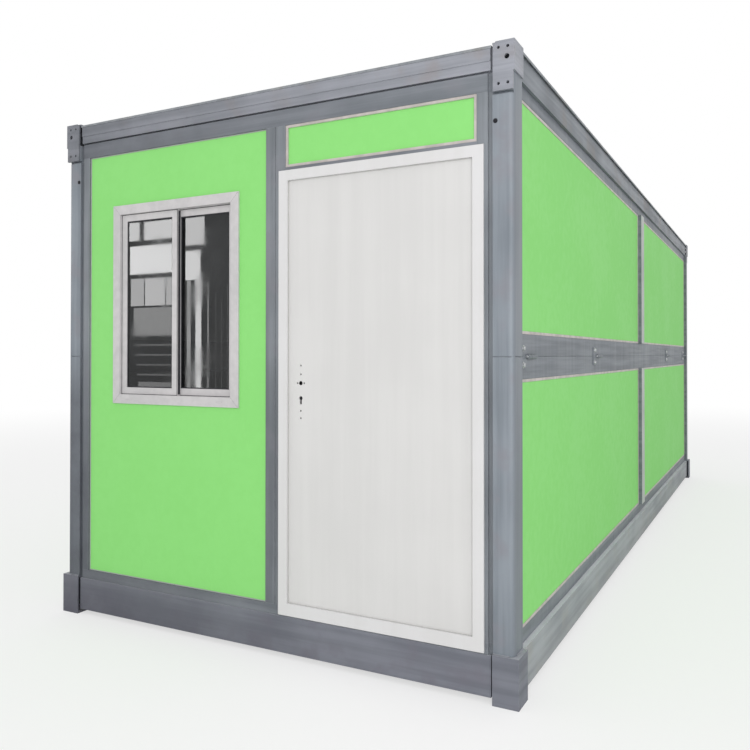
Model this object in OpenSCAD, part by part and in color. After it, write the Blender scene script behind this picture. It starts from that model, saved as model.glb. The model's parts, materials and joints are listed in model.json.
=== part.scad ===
// Folding container house: a steel base frame and a steel roof frame with a corner
// fitting at each corner, two long side walls that fold at mid height, and two
// bolted end walls. The front end wall holds a sliding window and a hinged door.
// Frame: +Z up, the front wall faces -Y, origin on the ground at mid plan.

/* [House] */
// Length over the corner fittings
house_length = 5950; // [4800:50:7200]
// Width over the feet of the corner fittings
house_width = 2440; // [2300:20:3000]
// Height from the feet to the heads of the corner fittings
house_height = 2500; // [2450:10:3000]
// Height of the fold seam in the side walls
seam_height = 1310; // [1150:2:1450]

/* [Corner fittings] */
// Height of the feet
foot_height = 190; // [185:5:220]
// Height of the heads, with the tongue that laps the post
head_height = 188; // [150:1:220]
// Plate thickness of the corner fittings
fitting_plate = 8; // [5:1:12]
// How far the feet reach below the base beams
foot_drop = 24; // [10:1:40]
// How far the heads reach above the roof sheet
head_rise = 8; // [6:1:15]
// How far the feet stand out past the side walls
foot_proud = 20; // [10:1:30]
// How far the heads stand out past the side walls
head_proud = 6; // [4:1:20]
// How far all fittings stand out past the corner posts, lengthways
end_proud = 10; // [6:1:20]
// Distance from the post's inner edge to the head's end plate
head_inset = 5; // [0:1:10]
// Chamfer on the inner top corner of the head's end plate
head_chamfer = 12; // [4:1:16]
// Height of the slot below the head's end plate
head_slot = 10; // [4:1:14]
// Distance from the slot's end to the post's outer face
slot_stop = 4; // [2:1:10]
// Radius of the lifting hole in each head
lifting_hole_r = 10; // [6:1:14]
// Distance from the post's inner edge to the lifting hole
lifting_inset = 61; // [50:1:66]
// Distance from the head's top to the lifting hole
lifting_drop = 63; // [45:1:80]
// Radius of the four bolt holes in each head
bolt_hole_r = 6; // [4:0.5:8]
// Distance between the bolt holes, across the house
bolt_pitch_x = 37; // [30:1:45]
// Distance between the bolt holes, upwards
bolt_pitch_z = 137; // [110:1:145]
// Distance from the post's inner edge to the middle of the bolt holes
bolt_inset = 46; // [38:1:50]
// Distance from the head's top to the middle of the bolt holes
bolt_drop = 93; // [85:1:98]
// Depth of the lower bolt holes in the post
bolt_depth = 30; // [15:1:50]

/* [Base frame] */
// Height of the base beams
base_beam_height = 158; // [120:2:158]
// Width of the end beams of the base
base_beam_width = 100; // [84:2:130]
// How far the side beams of the base reach in past the corner posts
base_side_lap = 15; // [5:1:40]
// Number of floor joists
joist_count = 9; // [5:1:12]
// Width of a joist
joist_width = 50; // [40:5:80]
// Height of a joist
joist_height = 100; // [60:5:110]
// Thickness of the floor boards
deck_thickness = 18; // [12:1:25]

/* [Roof frame] */
// Height of the roof beams over the side walls
roof_side_beam_height = 107; // [90:1:130]
// Height of the roof beams over the end walls
roof_end_beam_height = 91; // [70:1:100]
// Width of the roof beams
roof_beam_width = 80; // [60:5:110]
// Height of the thicker upper band of the roof's end beams
beam_band = 55; // [30:1:65]
// How far the lower band of those beams lies back
beam_step = 3; // [1:0.5:6]
// How far the roof's side beams stand behind the corner posts
roof_side_set_back = 8; // [0:1:12]
// Thickness of the roof sheet and of its folded rim
sheet_thickness = 2; // [1:0.5:3]
// Drop of the roof sheet's folded rim
sheet_rim = 10; // [6:1:14]
// Number of raised seams across the roof sheet
roof_seam_count = 9; // [3:1:14]
// Width of a raised seam
roof_seam_width = 30; // [15:1:50]
// Height of a raised seam
roof_seam_rise = 5; // [2:1:6]
// Thickness of the ceiling panel
ceiling_thickness = 75; // [50:5:80]

/* [Side walls] */
// Width of a corner post, seen from the front
post_width = 85; // [80:1:110]
// Depth of a corner post, seen from the side
post_depth = 100; // [90:5:140]
// Radius of the corner posts' outer edge
post_round = 22; // [10:1:30]
// How far the rails lie behind the corner posts
rail_recess = 22; // [8:1:24]
// Thickness of the rails, inwards
rail_depth = 60; // [56:1:80]
// Radius of the rails' outer edges
rail_round = 3; // [1:0.5:6]
// Height of the lower walls' bottom rail
bottom_rail = 60; // [40:1:100]
// Height of each of the two rails that meet at the fold seam
seam_rail = 90; // [80:1:110]
// Height of the upper walls' top rail
top_rail = 55; // [40:1:90]
// Width of the post at the middle of a side wall
mid_post_width = 120; // [90:5:180]
// How far the panels lie behind the rails
side_recess = 4; // [2:1:6]
// Thickness of the sandwich panels
panel_thickness = 50; // [40:1:50]
// Height of the groove round the posts at the fold seam
seam_groove = 4; // [2:0.5:8]
// Depth of that groove
seam_groove_depth = 3; // [2:0.5:10]

/* [Seam hinges] */
// Distance from a wall frame's end to its first hinge
hinge_inset = 140; // [120:5:200]
// Distance from a wall frame's end to its second hinge
hinge_second = 1418; // [700:2:1600]
// Width of a hinge strap
strap_width = 80; // [40:2:100]
// Reach of a strap above or below the seam
strap_reach = 50; // [35:1:60]
// Thickness of a strap
strap_thickness = 4; // [3:0.5:6]
// Radius of a hinge barrel
barrel_r = 9; // [6:0.5:9]
// Distance from a strap's edge to the start of its barrel
barrel_offset = 64; // [10:1:70]
// Length of a hinge barrel
barrel_length = 115; // [80:5:220]

/* [End walls] */
// Thickness of the end wall frames
end_frame_depth = 70; // [60:2:80]
// How far the end wall frames lie behind the corner posts
end_set_back = 4; // [1:1:8]
// How far the panels lie behind the end wall frames
end_recess = 9; // [6:1:14]
// Width of an end wall's outer stiles
stile_width = 61; // [50:1:70]
// Width of the post between the window and the door
door_post_width = 104; // [90:2:140]
// Width and depth of the line where that post's two tubes meet
post_line = 3; // [2:0.5:5]
// Width of the rear wall's middle post
rear_post_width = 104; // [80:2:160]
// Height of an end wall's top rail
end_top_rail = 79; // [50:1:90]
// Height of an end wall's bottom rail
end_bottom_rail = 44; // [30:2:50]
// Height of the rail above the door
transom_rail = 44; // [30:1:60]
// Width of the grooves beside the end walls
joint_groove = 20; // [6:1:24]
// Height of the groove above the end walls
top_groove = 9; // [4:1:14]
// Width of the grooves at the ends of the end beams
beam_groove = 8; // [4:1:12]
// Depth of the grooves at the beams' ends and along the roof beam
groove_depth = 15; // [8:1:25]
// Depth of the grooves between the end walls and the posts
joint_depth = 10; // [4:1:25]

/* [Door] */
// Width of the doorway between the frame's stops
doorway_width = 860; // [700:1:880]
// Height of the doorway between the frame's stops
doorway_height = 1834; // [1600:1:1840]
// Width of the right stile beside the door
hinge_stile_width = 65; // [60:1:80]
// Width of the door frame's flat face at the jambs
jamb_face = 46; // [36:1:50]
// Width of the door frame's flat face at the head
head_face = 45; // [30:1:50]
// Width of the door frame's flat face at the sill
sill_face = 54; // [30:1:56]
// Thickness of the flat face, which is also the stop
stop_thickness = 8; // [4:1:10]
// Thickness of the frame's lining in the wall
lining = 3; // [2:0.5:5]
// How far the leaf laps behind the stop
leaf_lap = 6; // [4:1:8]
// Gap between the leaf's edges and the lining
leaf_gap = 7; // [6.5:0.5:9]
// Gap between the closed leaf and the stop
stop_gap = 5.5; // [5:0.5:7]
// Thickness of the door leaf
leaf_thickness = 40; // [35:1:45]
// Distance from the leaf's ends to its upper and lower hinge
hinge_end = 170; // [120:5:300]
// Length of a door hinge barrel
knuckle_length = 110; // [80:5:130]
// Radius of a door hinge barrel
knuckle_r = 7; // [5:0.5:8]
// Radius of a door hinge pin
pin_r = 3; // [2:0.5:4]
// Thickness of the door hinges' plates
hinge_plate = 3; // [2:0.5:4]
// Width of the door hinges' plates on the leaf
hinge_leaf_width = 38; // [25:1:60]

/* [Lock holes in the leaf] */
// Height of the handle spindle's hole above the ground
spindle_height = 1195; // [1000:5:1250]
// Distance from the leaf's free edge to the line of holes
lock_backset = 69; // [50:1:90]
// Radius of the spindle hole
spindle_r = 9; // [7:0.5:10]
// Distance from the spindle hole to the screw hole at each side
rose_offset = 17; // [15:0.5:22]
// Drop from the spindle hole to the key cylinder's hole
cylinder_drop = 65; // [55:1:85]
// Radius of the key cylinder's hole
cylinder_r = 9; // [7:0.5:10]
// Width of the key cylinder's tail below its hole
tail_width = 10; // [8:0.5:12]
// Drop from the middle of the cylinder's hole to the end of its tail
tail_drop = 26; // [20:1:32]
// Heights of the handle plate's fixing holes from the spindle hole
plate_holes = [76, 38, -120, -151]; // [-170:1:120]
// Radius of the fixing holes
fixing_r = 4; // [2:0.5:5]

/* [Window] */
// Outside width of the window frame
window_width = 786; // [600:1:850]
// Outside height of the window frame
window_height = 981; // [700:1:1050]
// Height of the window frame's lower edge above the ground
window_sill = 1077; // [950:1:1100]
// Distance from the window frame to the post beside the door
window_side = 154; // [60:1:200]
// Width of the window frame's flat face
window_face = 46; // [32:1:50]
// How far the window frame stands out from its panel
window_proud = 9; // [6:1:12]
// How far the window frame laps over its panel
flange_lap = 14; // [8:1:20]
// Distance from the window frame's face to the outer sash
sash_inset = 14; // [6:1:20]
// Width of the sashes' stiles and rails
sash_face = 34; // [24:1:36]
// Thickness of a sash
sash_depth = 18; // [14:1:20]
// Gap between the two sashes
sash_gap = 2; // [1:0.5:4]
// Thickness of the glass
glass_thickness = 5; // [4:1:6]

/* [Hidden] */
$fn = 48;
steel_grey = [0.53, 0.55, 0.59];
dark_steel = [0.40, 0.41, 0.45];
panel_green = [0.55, 0.86, 0.49];
door_white = [0.85, 0.85, 0.85];
window_white = [0.82, 0.80, 0.80];
board_brown = [0.55, 0.47, 0.37];
glass_dark = [0.22, 0.24, 0.26];

// How far a cut runs past the faces that it opens
past = 1;

// Outer faces of the walls, and the levels of the two frames
side_face = house_width / 2 - foot_proud;
end_face = house_length / 2 - end_proud;
base_bottom = foot_drop;
base_top = base_bottom + base_beam_height;
sheet_top = house_height - head_rise;
roof_top = sheet_top - sheet_thickness;
head_bottom = house_height - head_height;
roof_side_bottom = roof_top - roof_side_beam_height;
roof_end_bottom = roof_top - roof_end_beam_height;
post_inner_x = side_face - post_width;
post_inner_y = end_face - post_depth;
base_side_inner = side_face - post_width - base_side_lap;
rim_gap = 4;

// Side walls
rail_outer_x = side_face - rail_recess;
rail_inner_x = rail_outer_x - rail_depth;
panel_outer_x = rail_outer_x - side_recess;
panel_inner_x = panel_outer_x - panel_thickness;
lower_panel_bottom = base_top + bottom_rail;
lower_panel_top = seam_height - seam_rail;
upper_panel_bottom = seam_height + seam_rail;
upper_panel_top = roof_side_bottom - top_rail;
hinge_length = barrel_offset + barrel_length;
hinge_stations = [
    -end_face + hinge_inset,
    -end_face + hinge_second,
    end_face - hinge_second - hinge_length,
    end_face - hinge_inset - hinge_length
];

// End walls
end_frame_face = end_face - end_set_back;
end_frame_inner = end_frame_face - end_frame_depth;
end_panel_face = end_frame_face - end_recess;
bottom_rail_top = base_top + end_bottom_rail;
top_rail_bottom = roof_end_bottom - end_top_rail;
stile_inner = post_inner_x - stile_width;

// Door leaf and the rough opening that its frame fills
rough_right = post_inner_x - hinge_stile_width;
leaf_right = rough_right - lining - leaf_gap;
leaf_left = leaf_right - doorway_width - 2 * leaf_lap;
rough_left = leaf_left - leaf_gap - lining;
rough_bottom = bottom_rail_top;
leaf_bottom = rough_bottom + lining + leaf_gap;
leaf_top = leaf_bottom + doorway_height + 2 * leaf_lap;
rough_top = leaf_top + leaf_gap + lining;
leaf_front = end_frame_face - stop_gap;
leaf_back = leaf_front - leaf_thickness;
door_post_left = rough_left - door_post_width;
transom_bottom = rough_top + transom_rail;
lock_x = leaf_left + lock_backset;

// Door hinges
knuckle_gap = 1;
knuckle_split = 1;
pin_clearance = 0.3;
axis_inset = 2;
door_axis_x = leaf_right - axis_inset;
door_axis_y = leaf_back - knuckle_r - knuckle_gap;
door_hinge_levels = [leaf_bottom + hinge_end, (leaf_bottom + leaf_top) / 2, leaf_top - hinge_end];

// Window
window_right = door_post_left - window_side;
window_left = window_right - window_width;
window_top = window_sill + window_height;
frame_front = end_panel_face + window_proud;
sash_left = window_left + window_face;
sash_right = window_right - window_face;
sash_bottom = window_sill + window_face;
sash_top = window_top - window_face;
sash_middle = (sash_left + sash_right) / 2;
front_sash_face = frame_front - sash_inset;
rear_sash_face = front_sash_face - sash_depth - sash_gap;

// ---- helpers ----

// Box between two corners
module block(low, high) {
    translate(low) cube(high - low);
}

// A shape, or its mirror image in the plane x = 0 when side is -1
module on_side(side) {
    mirror([side < 0 ? 1 : 0, 0, 0]) children();
}

// Puts what is drawn for the +Y end at the front when end is -1
module at_end(end) {
    mirror([0, end < 0 ? 1 : 0, 0]) children();
}

// What is drawn for the +X, +Y corner, at all four corners
module at_corners() {
    for (side = [-1, 1], end = [-1, 1]) on_side(side) at_end(end) children();
}

// Rectangular ring in the XZ plane, from y[0] to y[1]
module ring(x, z, border, y) {
    difference() {
        block([x[0], y[0], z[0]], [x[1], y[1], z[1]]);
        block(
            [x[0] + border, y[0] - past, z[0] + border],
            [x[1] - border, y[1] + past, z[1] - border]
        );
    }
}

// Round hole into the +Y end, starting outside the fittings' end plates
module end_hole(x, z, r, y_bottom) {
    translate([x, end_face + end_proud + past, z]) rotate([90, 0, 0])
        cylinder(r = r, h = end_face + end_proud + past - y_bottom);
}

// ---- base frame ----

// Upright grooves at both ends of an end beam
module beam_grooves(bottom, top) {
    for (side = [-1, 1]) on_side(side)
        block(
            [post_inner_x - beam_groove, end_face - groove_depth, bottom - past],
            [post_inner_x + past, end_face + past, top + past]
        );
}

// End beam of the base, as deep as the feet where it meets them
module base_end_beam(end) {
    at_end(end) color(steel_grey) difference() {
        union() {
            block(
                [-base_side_inner, end_face - base_beam_width, base_bottom],
                [base_side_inner, end_face, base_top]
            );
            block([-post_inner_x, post_inner_y, base_bottom], [post_inner_x, end_face, base_top]);
        }
        beam_grooves(base_bottom, base_top);
    }
}

module base_side_beam(side) {
    on_side(side) color(steel_grey)
        block([base_side_inner, -post_inner_y, base_bottom], [side_face, post_inner_y, base_top]);
}

// Foot: four plates, open towards the inside of the house
module foot(side, end) {
    outer_x = side_face + foot_proud;
    outer_y = end_face + end_proud;
    on_side(side) at_end(end) color(dark_steel) difference() {
        block([post_inner_x, post_inner_y, 0], [outer_x, outer_y, foot_height]);
        block(
            [post_inner_x - past, post_inner_y - past, fitting_plate],
            [outer_x - fitting_plate, outer_y - fitting_plate, foot_height - fitting_plate]
        );
    }
}

module floor_joists() {
    span = 2 * (end_face - base_beam_width);
    pitch = span / (joist_count + 1);
    color(dark_steel) for (i = [1 : joist_count])
        translate([-base_side_inner, -span / 2 + i * pitch - joist_width / 2, base_top - joist_height])
            cube([2 * base_side_inner, joist_width, joist_height]);
}

module floor_deck() {
    deck_top = base_top + deck_thickness;
    color(board_brown) difference() {
        block([-rail_inner_x, -end_frame_inner, base_top], [rail_inner_x, end_frame_inner, deck_top]);
        at_corners()
            block([post_inner_x, post_inner_y, base_top - past], [side_face, end_face, deck_top + past]);
    }
}

// ---- roof frame ----

module roof_end_beam(end) {
    at_end(end) color(steel_grey) difference() {
        block([-post_inner_x, end_face - roof_beam_width, roof_end_bottom], [post_inner_x, end_face, roof_top]);
        block(
            [-post_inner_x - past, end_face - beam_step, roof_end_bottom - past],
            [post_inner_x + past, end_face + past, roof_top - beam_band]
        );
        beam_grooves(roof_end_bottom, roof_top);
    }
}

module roof_side_beam(side) {
    on_side(side) color(steel_grey)
        block(
            [side_face - roof_beam_width, -post_inner_y, roof_side_bottom],
            [side_face - roof_side_set_back, post_inner_y, roof_top]
        );
}

// Outline of a head's end plate, with the tongue that laps the post
module head_outline() {
    inner = post_inner_x + head_inset;
    outer = side_face + head_proud;
    polygon([
        [inner, head_bottom],
        [side_face, head_bottom],
        [side_face, roof_side_bottom],
        [outer, roof_side_bottom],
        [outer, house_height],
        [inner + head_chamfer, house_height],
        [inner, house_height - head_chamfer]
    ]);
}

// The four bolt holes of a head, down to y_bottom
module bolt_holes(y_bottom) {
    for (dx = [-1, 1], dz = [-1, 1])
        end_hole(
            post_inner_x + bolt_inset + dx * bolt_pitch_x / 2,
            house_height - bolt_drop + dz * bolt_pitch_z / 2,
            bolt_hole_r, y_bottom
        );
}

// Head: a box open towards the inside, behind a thick end plate
module head(side, end) {
    outer_x = side_face + head_proud;
    on_side(side) at_end(end) color(steel_grey) difference() {
        union() {
            block([post_inner_x, post_inner_y, roof_side_bottom], [outer_x, end_face, house_height]);
            translate([0, end_face + end_proud, 0]) rotate([90, 0, 0])
                linear_extrude(end_proud) head_outline();
        }
        block(
            [post_inner_x - past, post_inner_y - past, roof_side_bottom + fitting_plate],
            [outer_x - fitting_plate, end_face, house_height - fitting_plate]
        );
        end_hole(post_inner_x + lifting_inset, house_height - lifting_drop, lifting_hole_r, end_face - past);
        bolt_holes(end_face - past);
    }
}

module roof_sheet() {
    color(steel_grey) difference() {
        block([-side_face, -end_face, roof_top], [side_face, end_face, sheet_top]);
        at_corners()
            block(
                [post_inner_x - rim_gap, post_inner_y - rim_gap, roof_top - past],
                [side_face + past, end_face + past, sheet_top + past]
            );
    }
}

// Folded rim on the four edges of the roof sheet, and the caps of its raised seams
module roof_flashing() {
    rim_x = post_inner_x - rim_gap;
    rim_y = post_inner_y - rim_gap;
    rim_bottom = sheet_top - sheet_rim;
    seam_pitch = 2 * post_inner_y / (roof_seam_count + 1);
    color(steel_grey) {
        for (side = [-1, 1]) on_side(side)
            block([side_face, -rim_y, rim_bottom], [side_face + sheet_thickness, rim_y, sheet_top]);
        for (end = [-1, 1]) at_end(end)
            block([-rim_x, end_face, rim_bottom], [rim_x, end_face + sheet_thickness, sheet_top]);
        for (i = [1 : roof_seam_count])
            translate([-rim_x, -post_inner_y + i * seam_pitch - roof_seam_width / 2, sheet_top])
                cube([2 * rim_x, roof_seam_width, roof_seam_rise]);
    }
}

module ceiling_panel() {
    inner_x = side_face - roof_beam_width;
    inner_y = end_face - roof_beam_width;
    bottom = roof_top - ceiling_thickness;
    color(door_white) difference() {
        block([-inner_x, -inner_y, bottom], [inner_x, inner_y, roof_top]);
        at_corners()
            block([post_inner_x, post_inner_y, bottom - past], [side_face, end_face, roof_top + past]);
    }
}

// ---- side walls ----

// Corner post section with its outer vertical edge rounded
module post_section() {
    translate([post_inner_x, post_inner_y]) square([post_width - post_round, post_depth]);
    translate([post_inner_x, post_inner_y]) square([post_width, post_depth - post_round]);
    translate([side_face - post_round, end_face - post_round]) circle(post_round);
}

// The two corner posts of one wall half
module corner_posts(bottom, top) {
    for (end = [-1, 1]) at_end(end)
        translate([0, 0, bottom]) linear_extrude(top - bottom) post_section();
}

// Rail section, from level bottom to level top, with rounded outer edges
module rail_section(bottom, top) {
    translate([rail_inner_x, bottom]) square([rail_depth - rail_round, top - bottom]);
    translate([rail_inner_x, bottom + rail_round]) square([rail_depth, top - bottom - 2 * rail_round]);
    for (level = [bottom + rail_round, top - rail_round])
        translate([rail_outer_x - rail_round, level]) circle(rail_round);
}

// Rail of a side wall between the corner posts
module side_rail(bottom, top) {
    translate([0, post_inner_y, 0]) rotate([90, 0, 0])
        linear_extrude(2 * post_inner_y) rail_section(bottom, top);
}

// Shallow groove round the corner posts at the fold seam
module seam_cut() {
    difference() {
        block(
            [0, -end_face - past, seam_height - seam_groove / 2],
            [side_face + past, end_face + past, seam_height + seam_groove / 2]
        );
        block(
            [-past, -end_face + seam_groove_depth, seam_height - seam_groove],
            [side_face - seam_groove_depth, end_face - seam_groove_depth, seam_height + seam_groove]
        );
    }
}

// Welded frame of one wall half: corner posts, two rails and the middle post between them
module side_frame(rail_levels, post_levels) {
    low = rail_levels[0];
    high = rail_levels[1];
    difference() {
        union() {
            corner_posts(post_levels[0], post_levels[1]);
            side_rail(low[0], low[1]);
            side_rail(high[0], high[1]);
            block([rail_inner_x, -mid_post_width / 2, low[1]], [side_face, mid_post_width / 2, high[0]]);
        }
        seam_cut();
    }
}

module lower_frame(side) {
    on_side(side) color(steel_grey)
        side_frame(
            [[base_top, lower_panel_bottom], [lower_panel_top, seam_height]],
            [foot_height, seam_height]
        );
}

module upper_frame(side) {
    on_side(side) color(steel_grey) difference() {
        side_frame(
            [[seam_height, upper_panel_bottom], [upper_panel_top, roof_side_bottom]],
            [seam_height, roof_side_bottom]
        );
        for (end = [-1, 1]) at_end(end) {
            block(
                [post_inner_x - past, end_face - groove_depth, head_bottom - head_slot],
                [side_face - slot_stop, end_face + past, head_bottom]
            );
            bolt_holes(end_face - bolt_depth);
        }
    }
}

// Four sandwich panels: two bays, below and above the seam
module side_panels(side) {
    levels = [[lower_panel_bottom, lower_panel_top], [upper_panel_bottom, upper_panel_top]];
    on_side(side) color(panel_green) for (end = [-1, 1], level = levels) at_end(end)
        block(
            [panel_inner_x, mid_post_width / 2, level[0]],
            [panel_outer_x, post_inner_y, level[1]]
        );
}

// Fold hinge: a strap across the seam on both rails, and a barrel on the seam line
module seam_hinge() {
    translate([rail_outer_x, 0, seam_height - strap_reach])
        cube([strap_thickness, strap_width, 2 * strap_reach]);
    translate([rail_outer_x + barrel_r, barrel_offset, seam_height]) rotate([-90, 0, 0])
        cylinder(r = barrel_r, h = barrel_length);
}

module seam_hinges(side) {
    on_side(side) color(steel_grey) for (y = hinge_stations)
        translate([0, y, 0]) seam_hinge();
}

// ---- end walls, drawn for the +Y end ----

// Grooves between an end wall and the posts or the roof beam
module end_wall_grooves() {
    for (side = [-1, 1]) on_side(side)
        block(
            [post_inner_x - joint_groove, end_frame_face - joint_depth, base_top - past],
            [post_inner_x + past, end_frame_face + past, roof_end_bottom + past]
        );
    block(
        [-post_inner_x - past, end_frame_face - groove_depth, roof_end_bottom - top_groove],
        [post_inner_x + past, end_frame_face + past, roof_end_bottom + past]
    );
}

// Straight member of an end wall frame
module end_member(x, z) {
    block([x[0], end_frame_inner, z[0]], [x[1], end_frame_face, z[1]]);
}

module end_rails() {
    end_member([-post_inner_x, post_inner_x], [base_top, bottom_rail_top]);
    end_member([-post_inner_x, post_inner_x], [top_rail_bottom, roof_end_bottom]);
}

// Sandwich panel of an end wall
module end_panel(x, z) {
    block([x[0], end_panel_face - panel_thickness, z[0]], [x[1], end_panel_face, z[1]]);
}

module front_stiles() {
    at_end(-1) color(steel_grey) difference() {
        union() {
            end_member([-post_inner_x, -stile_inner], [bottom_rail_top, top_rail_bottom]);
            end_member([rough_right, post_inner_x], [bottom_rail_top, top_rail_bottom]);
        }
        end_wall_grooves();
    }
}

module front_rails() {
    at_end(-1) color(steel_grey) difference() {
        union() {
            end_rails();
            end_member([rough_left, rough_right], [rough_top, transom_bottom]);
        }
        end_wall_grooves();
    }
}

module door_post() {
    line_x = door_post_left + door_post_width / 2;
    at_end(-1) color(steel_grey) difference() {
        end_member([door_post_left, rough_left], [bottom_rail_top, top_rail_bottom]);
        block(
            [line_x - post_line / 2, end_frame_face - post_line, bottom_rail_top - past],
            [line_x + post_line / 2, end_frame_face + past, top_rail_bottom + past]
        );
    }
}

module transom_panel() {
    at_end(-1) color(panel_green)
        end_panel([rough_left, rough_right], [transom_bottom, top_rail_bottom]);
}

module window_panel() {
    at_end(-1) color(panel_green) difference() {
        end_panel([-stile_inner, door_post_left], [bottom_rail_top, top_rail_bottom]);
        block(
            [window_left + flange_lap, end_frame_inner - past, window_sill + flange_lap],
            [window_right - flange_lap, end_frame_face + past, window_top - flange_lap]
        );
    }
}

module rear_frame() {
    color(steel_grey) difference() {
        union() {
            end_rails();
            for (side = [-1, 1]) on_side(side)
                end_member([stile_inner, post_inner_x], [base_top, roof_end_bottom]);
            end_member([-rear_post_width / 2, rear_post_width / 2], [base_top, roof_end_bottom]);
        }
        end_wall_grooves();
    }
}

module rear_panels() {
    color(panel_green) for (side = [-1, 1]) on_side(side)
        end_panel([rear_post_width / 2, stile_inner], [bottom_rail_top, top_rail_bottom]);
}

// ---- window ----

module window_frame() {
    x = [window_left, window_right];
    z = [window_sill, window_top];
    body_x = [x[0] + flange_lap, x[1] - flange_lap];
    body_z = [z[0] + flange_lap, z[1] - flange_lap];
    at_end(-1) color(window_white) union() {
        ring(x, z, window_face, [end_panel_face, frame_front]);
        ring(body_x, body_z, window_face - flange_lap, [end_frame_inner, end_panel_face]);
    }
}

// One sliding sash, from x[0] to x[1], with its outer face at face
module sash(x, face) {
    at_end(-1) color(window_white)
        ring(x, [sash_bottom, sash_top], sash_face, [face - sash_depth, face]);
}

// One pane in the middle of its sash's thickness
module pane(x, face) {
    middle = face - sash_depth / 2;
    block(
        [x[0] + sash_face, middle - glass_thickness / 2, sash_bottom + sash_face],
        [x[1] - sash_face, middle + glass_thickness / 2, sash_top - sash_face]
    );
}

module window_left_sash() {
    sash([sash_left, sash_middle + sash_face / 2], front_sash_face);
}

module window_right_sash() {
    sash([sash_middle - sash_face / 2, sash_right], rear_sash_face);
}

module window_glass() {
    at_end(-1) color(glass_dark) {
        pane([sash_left, sash_middle + sash_face / 2], front_sash_face);
        pane([sash_middle - sash_face / 2, sash_right], rear_sash_face);
    }
}

// ---- door ----

// Flat face of the door frame, which is also the leaf's stop
module door_frame() {
    stop_x = [leaf_left + leaf_lap, leaf_right - leaf_lap];
    stop_z = [leaf_bottom + leaf_lap, leaf_top - leaf_lap];
    face_y = end_frame_face + stop_thickness;
    at_end(-1) color(door_white) difference() {
        block(
            [stop_x[0] - jamb_face, end_frame_face, stop_z[0] - sill_face],
            [stop_x[1] + jamb_face, face_y, stop_z[1] + head_face]
        );
        block([stop_x[0], end_frame_face - past, stop_z[0]], [stop_x[1], face_y + past, stop_z[1]]);
    }
}

// Lining of the doorway behind the flat face
module door_lining() {
    at_end(-1) color(door_white)
        ring([rough_left, rough_right], [rough_bottom, rough_top], lining, [end_frame_inner, end_frame_face]);
}

// Hole right through the leaf, offset from the spindle hole
module leaf_hole(dx, dz, r) {
    translate([lock_x + dx, leaf_front + past, spindle_height + dz]) rotate([90, 0, 0])
        cylinder(r = r, h = leaf_thickness + 2 * past);
}

module door_leaf() {
    cylinder_z = spindle_height - cylinder_drop;
    at_end(-1) color(door_white) difference() {
        block([leaf_left, leaf_back, leaf_bottom], [leaf_right, leaf_front, leaf_top]);
        leaf_hole(0, 0, spindle_r);
        leaf_hole(0, -cylinder_drop, cylinder_r);
        block(
            [lock_x - tail_width / 2, leaf_back - past, cylinder_z - tail_drop],
            [lock_x + tail_width / 2, leaf_front + past, cylinder_z]
        );
        for (dz = plate_holes) leaf_hole(0, dz, fixing_r);
        for (dx = [-1, 1]) leaf_hole(dx * rose_offset, 0, fixing_r);
    }
}

module knuckle(bottom, top) {
    translate([door_axis_x, door_axis_y, bottom]) cylinder(r = knuckle_r, h = top - bottom);
}

// Frame side of each door hinge: a plate on the lining, two knuckles and the pin
module door_hinge_pins() {
    third = knuckle_length / 3;
    at_end(-1) color(steel_grey) for (level = door_hinge_levels) union() {
        for (z = [level - knuckle_length / 2, level + knuckle_length / 2 - third]) {
            knuckle(z, z + third);
            block(
                [rough_right - lining - hinge_plate, end_frame_inner, z],
                [rough_right - lining, door_axis_y, z + third]
            );
        }
        translate([door_axis_x, door_axis_y, level - knuckle_length / 2])
            cylinder(r = pin_r, h = knuckle_length);
    }
}

// Leaf side of each door hinge: a plate on the leaf's back and the middle knuckle
module door_hinge_knuckles() {
    half = knuckle_length / 6 - knuckle_split;
    at_end(-1) color(steel_grey) for (level = door_hinge_levels) difference() {
        union() {
            knuckle(level - half, level + half);
            block(
                [door_axis_x - hinge_leaf_width, leaf_back - hinge_plate, level - half],
                [door_axis_x, leaf_back, level + half]
            );
        }
        translate([door_axis_x, door_axis_y, level - half - past])
            cylinder(r = pin_r + pin_clearance, h = 2 * half + 2 * past);
    }
}

base_end_beam(-1);  // base_beam_front
base_end_beam(1);  // base_beam_rear
base_side_beam(-1);  // base_beam_left
base_side_beam(1);  // base_beam_right
foot(-1, -1);  // foot_front_left
foot(1, -1);  // foot_front_right
foot(-1, 1);  // foot_rear_left
foot(1, 1);  // foot_rear_right
floor_joists();
floor_deck();
roof_end_beam(-1);  // roof_beam_front
roof_end_beam(1);  // roof_beam_rear
roof_side_beam(-1);  // roof_beam_left
roof_side_beam(1);  // roof_beam_right
head(-1, -1);  // head_front_left
head(1, -1);  // head_front_right
head(-1, 1);  // head_rear_left
head(1, 1);  // head_rear_right
roof_sheet();
roof_flashing();
ceiling_panel();
lower_frame(-1);  // left_lower_frame
upper_frame(-1);  // left_upper_frame
lower_frame(1);  // right_lower_frame
upper_frame(1);  // right_upper_frame
side_panels(-1);  // left_panels
side_panels(1);  // right_panels
seam_hinges(-1);  // left_seam_hinges
seam_hinges(1);  // right_seam_hinges
front_stiles();
front_rails();
door_post();
transom_panel();
window_panel();
window_frame();
window_left_sash();
window_right_sash();
window_glass();
door_frame();
door_lining();
door_leaf();
door_hinge_pins();
door_hinge_knuckles();
rear_frame();
rear_panels();
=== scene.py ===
"""Looks of a folding container house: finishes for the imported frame, and the trims and hardware on it.

Every size is in metres, in the frame's own axes: +Z up, the front wall with the door facing -Y.
"""

import json
import logging
import math
from dataclasses import dataclass, field
from enum import Enum, IntEnum
from typing import Any, Mapping, Sequence

import bmesh
import bpy
from bpy.types import Material, Node, NodeSocket, NodeTree, Object
from mathutils import Matrix, Vector


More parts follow.
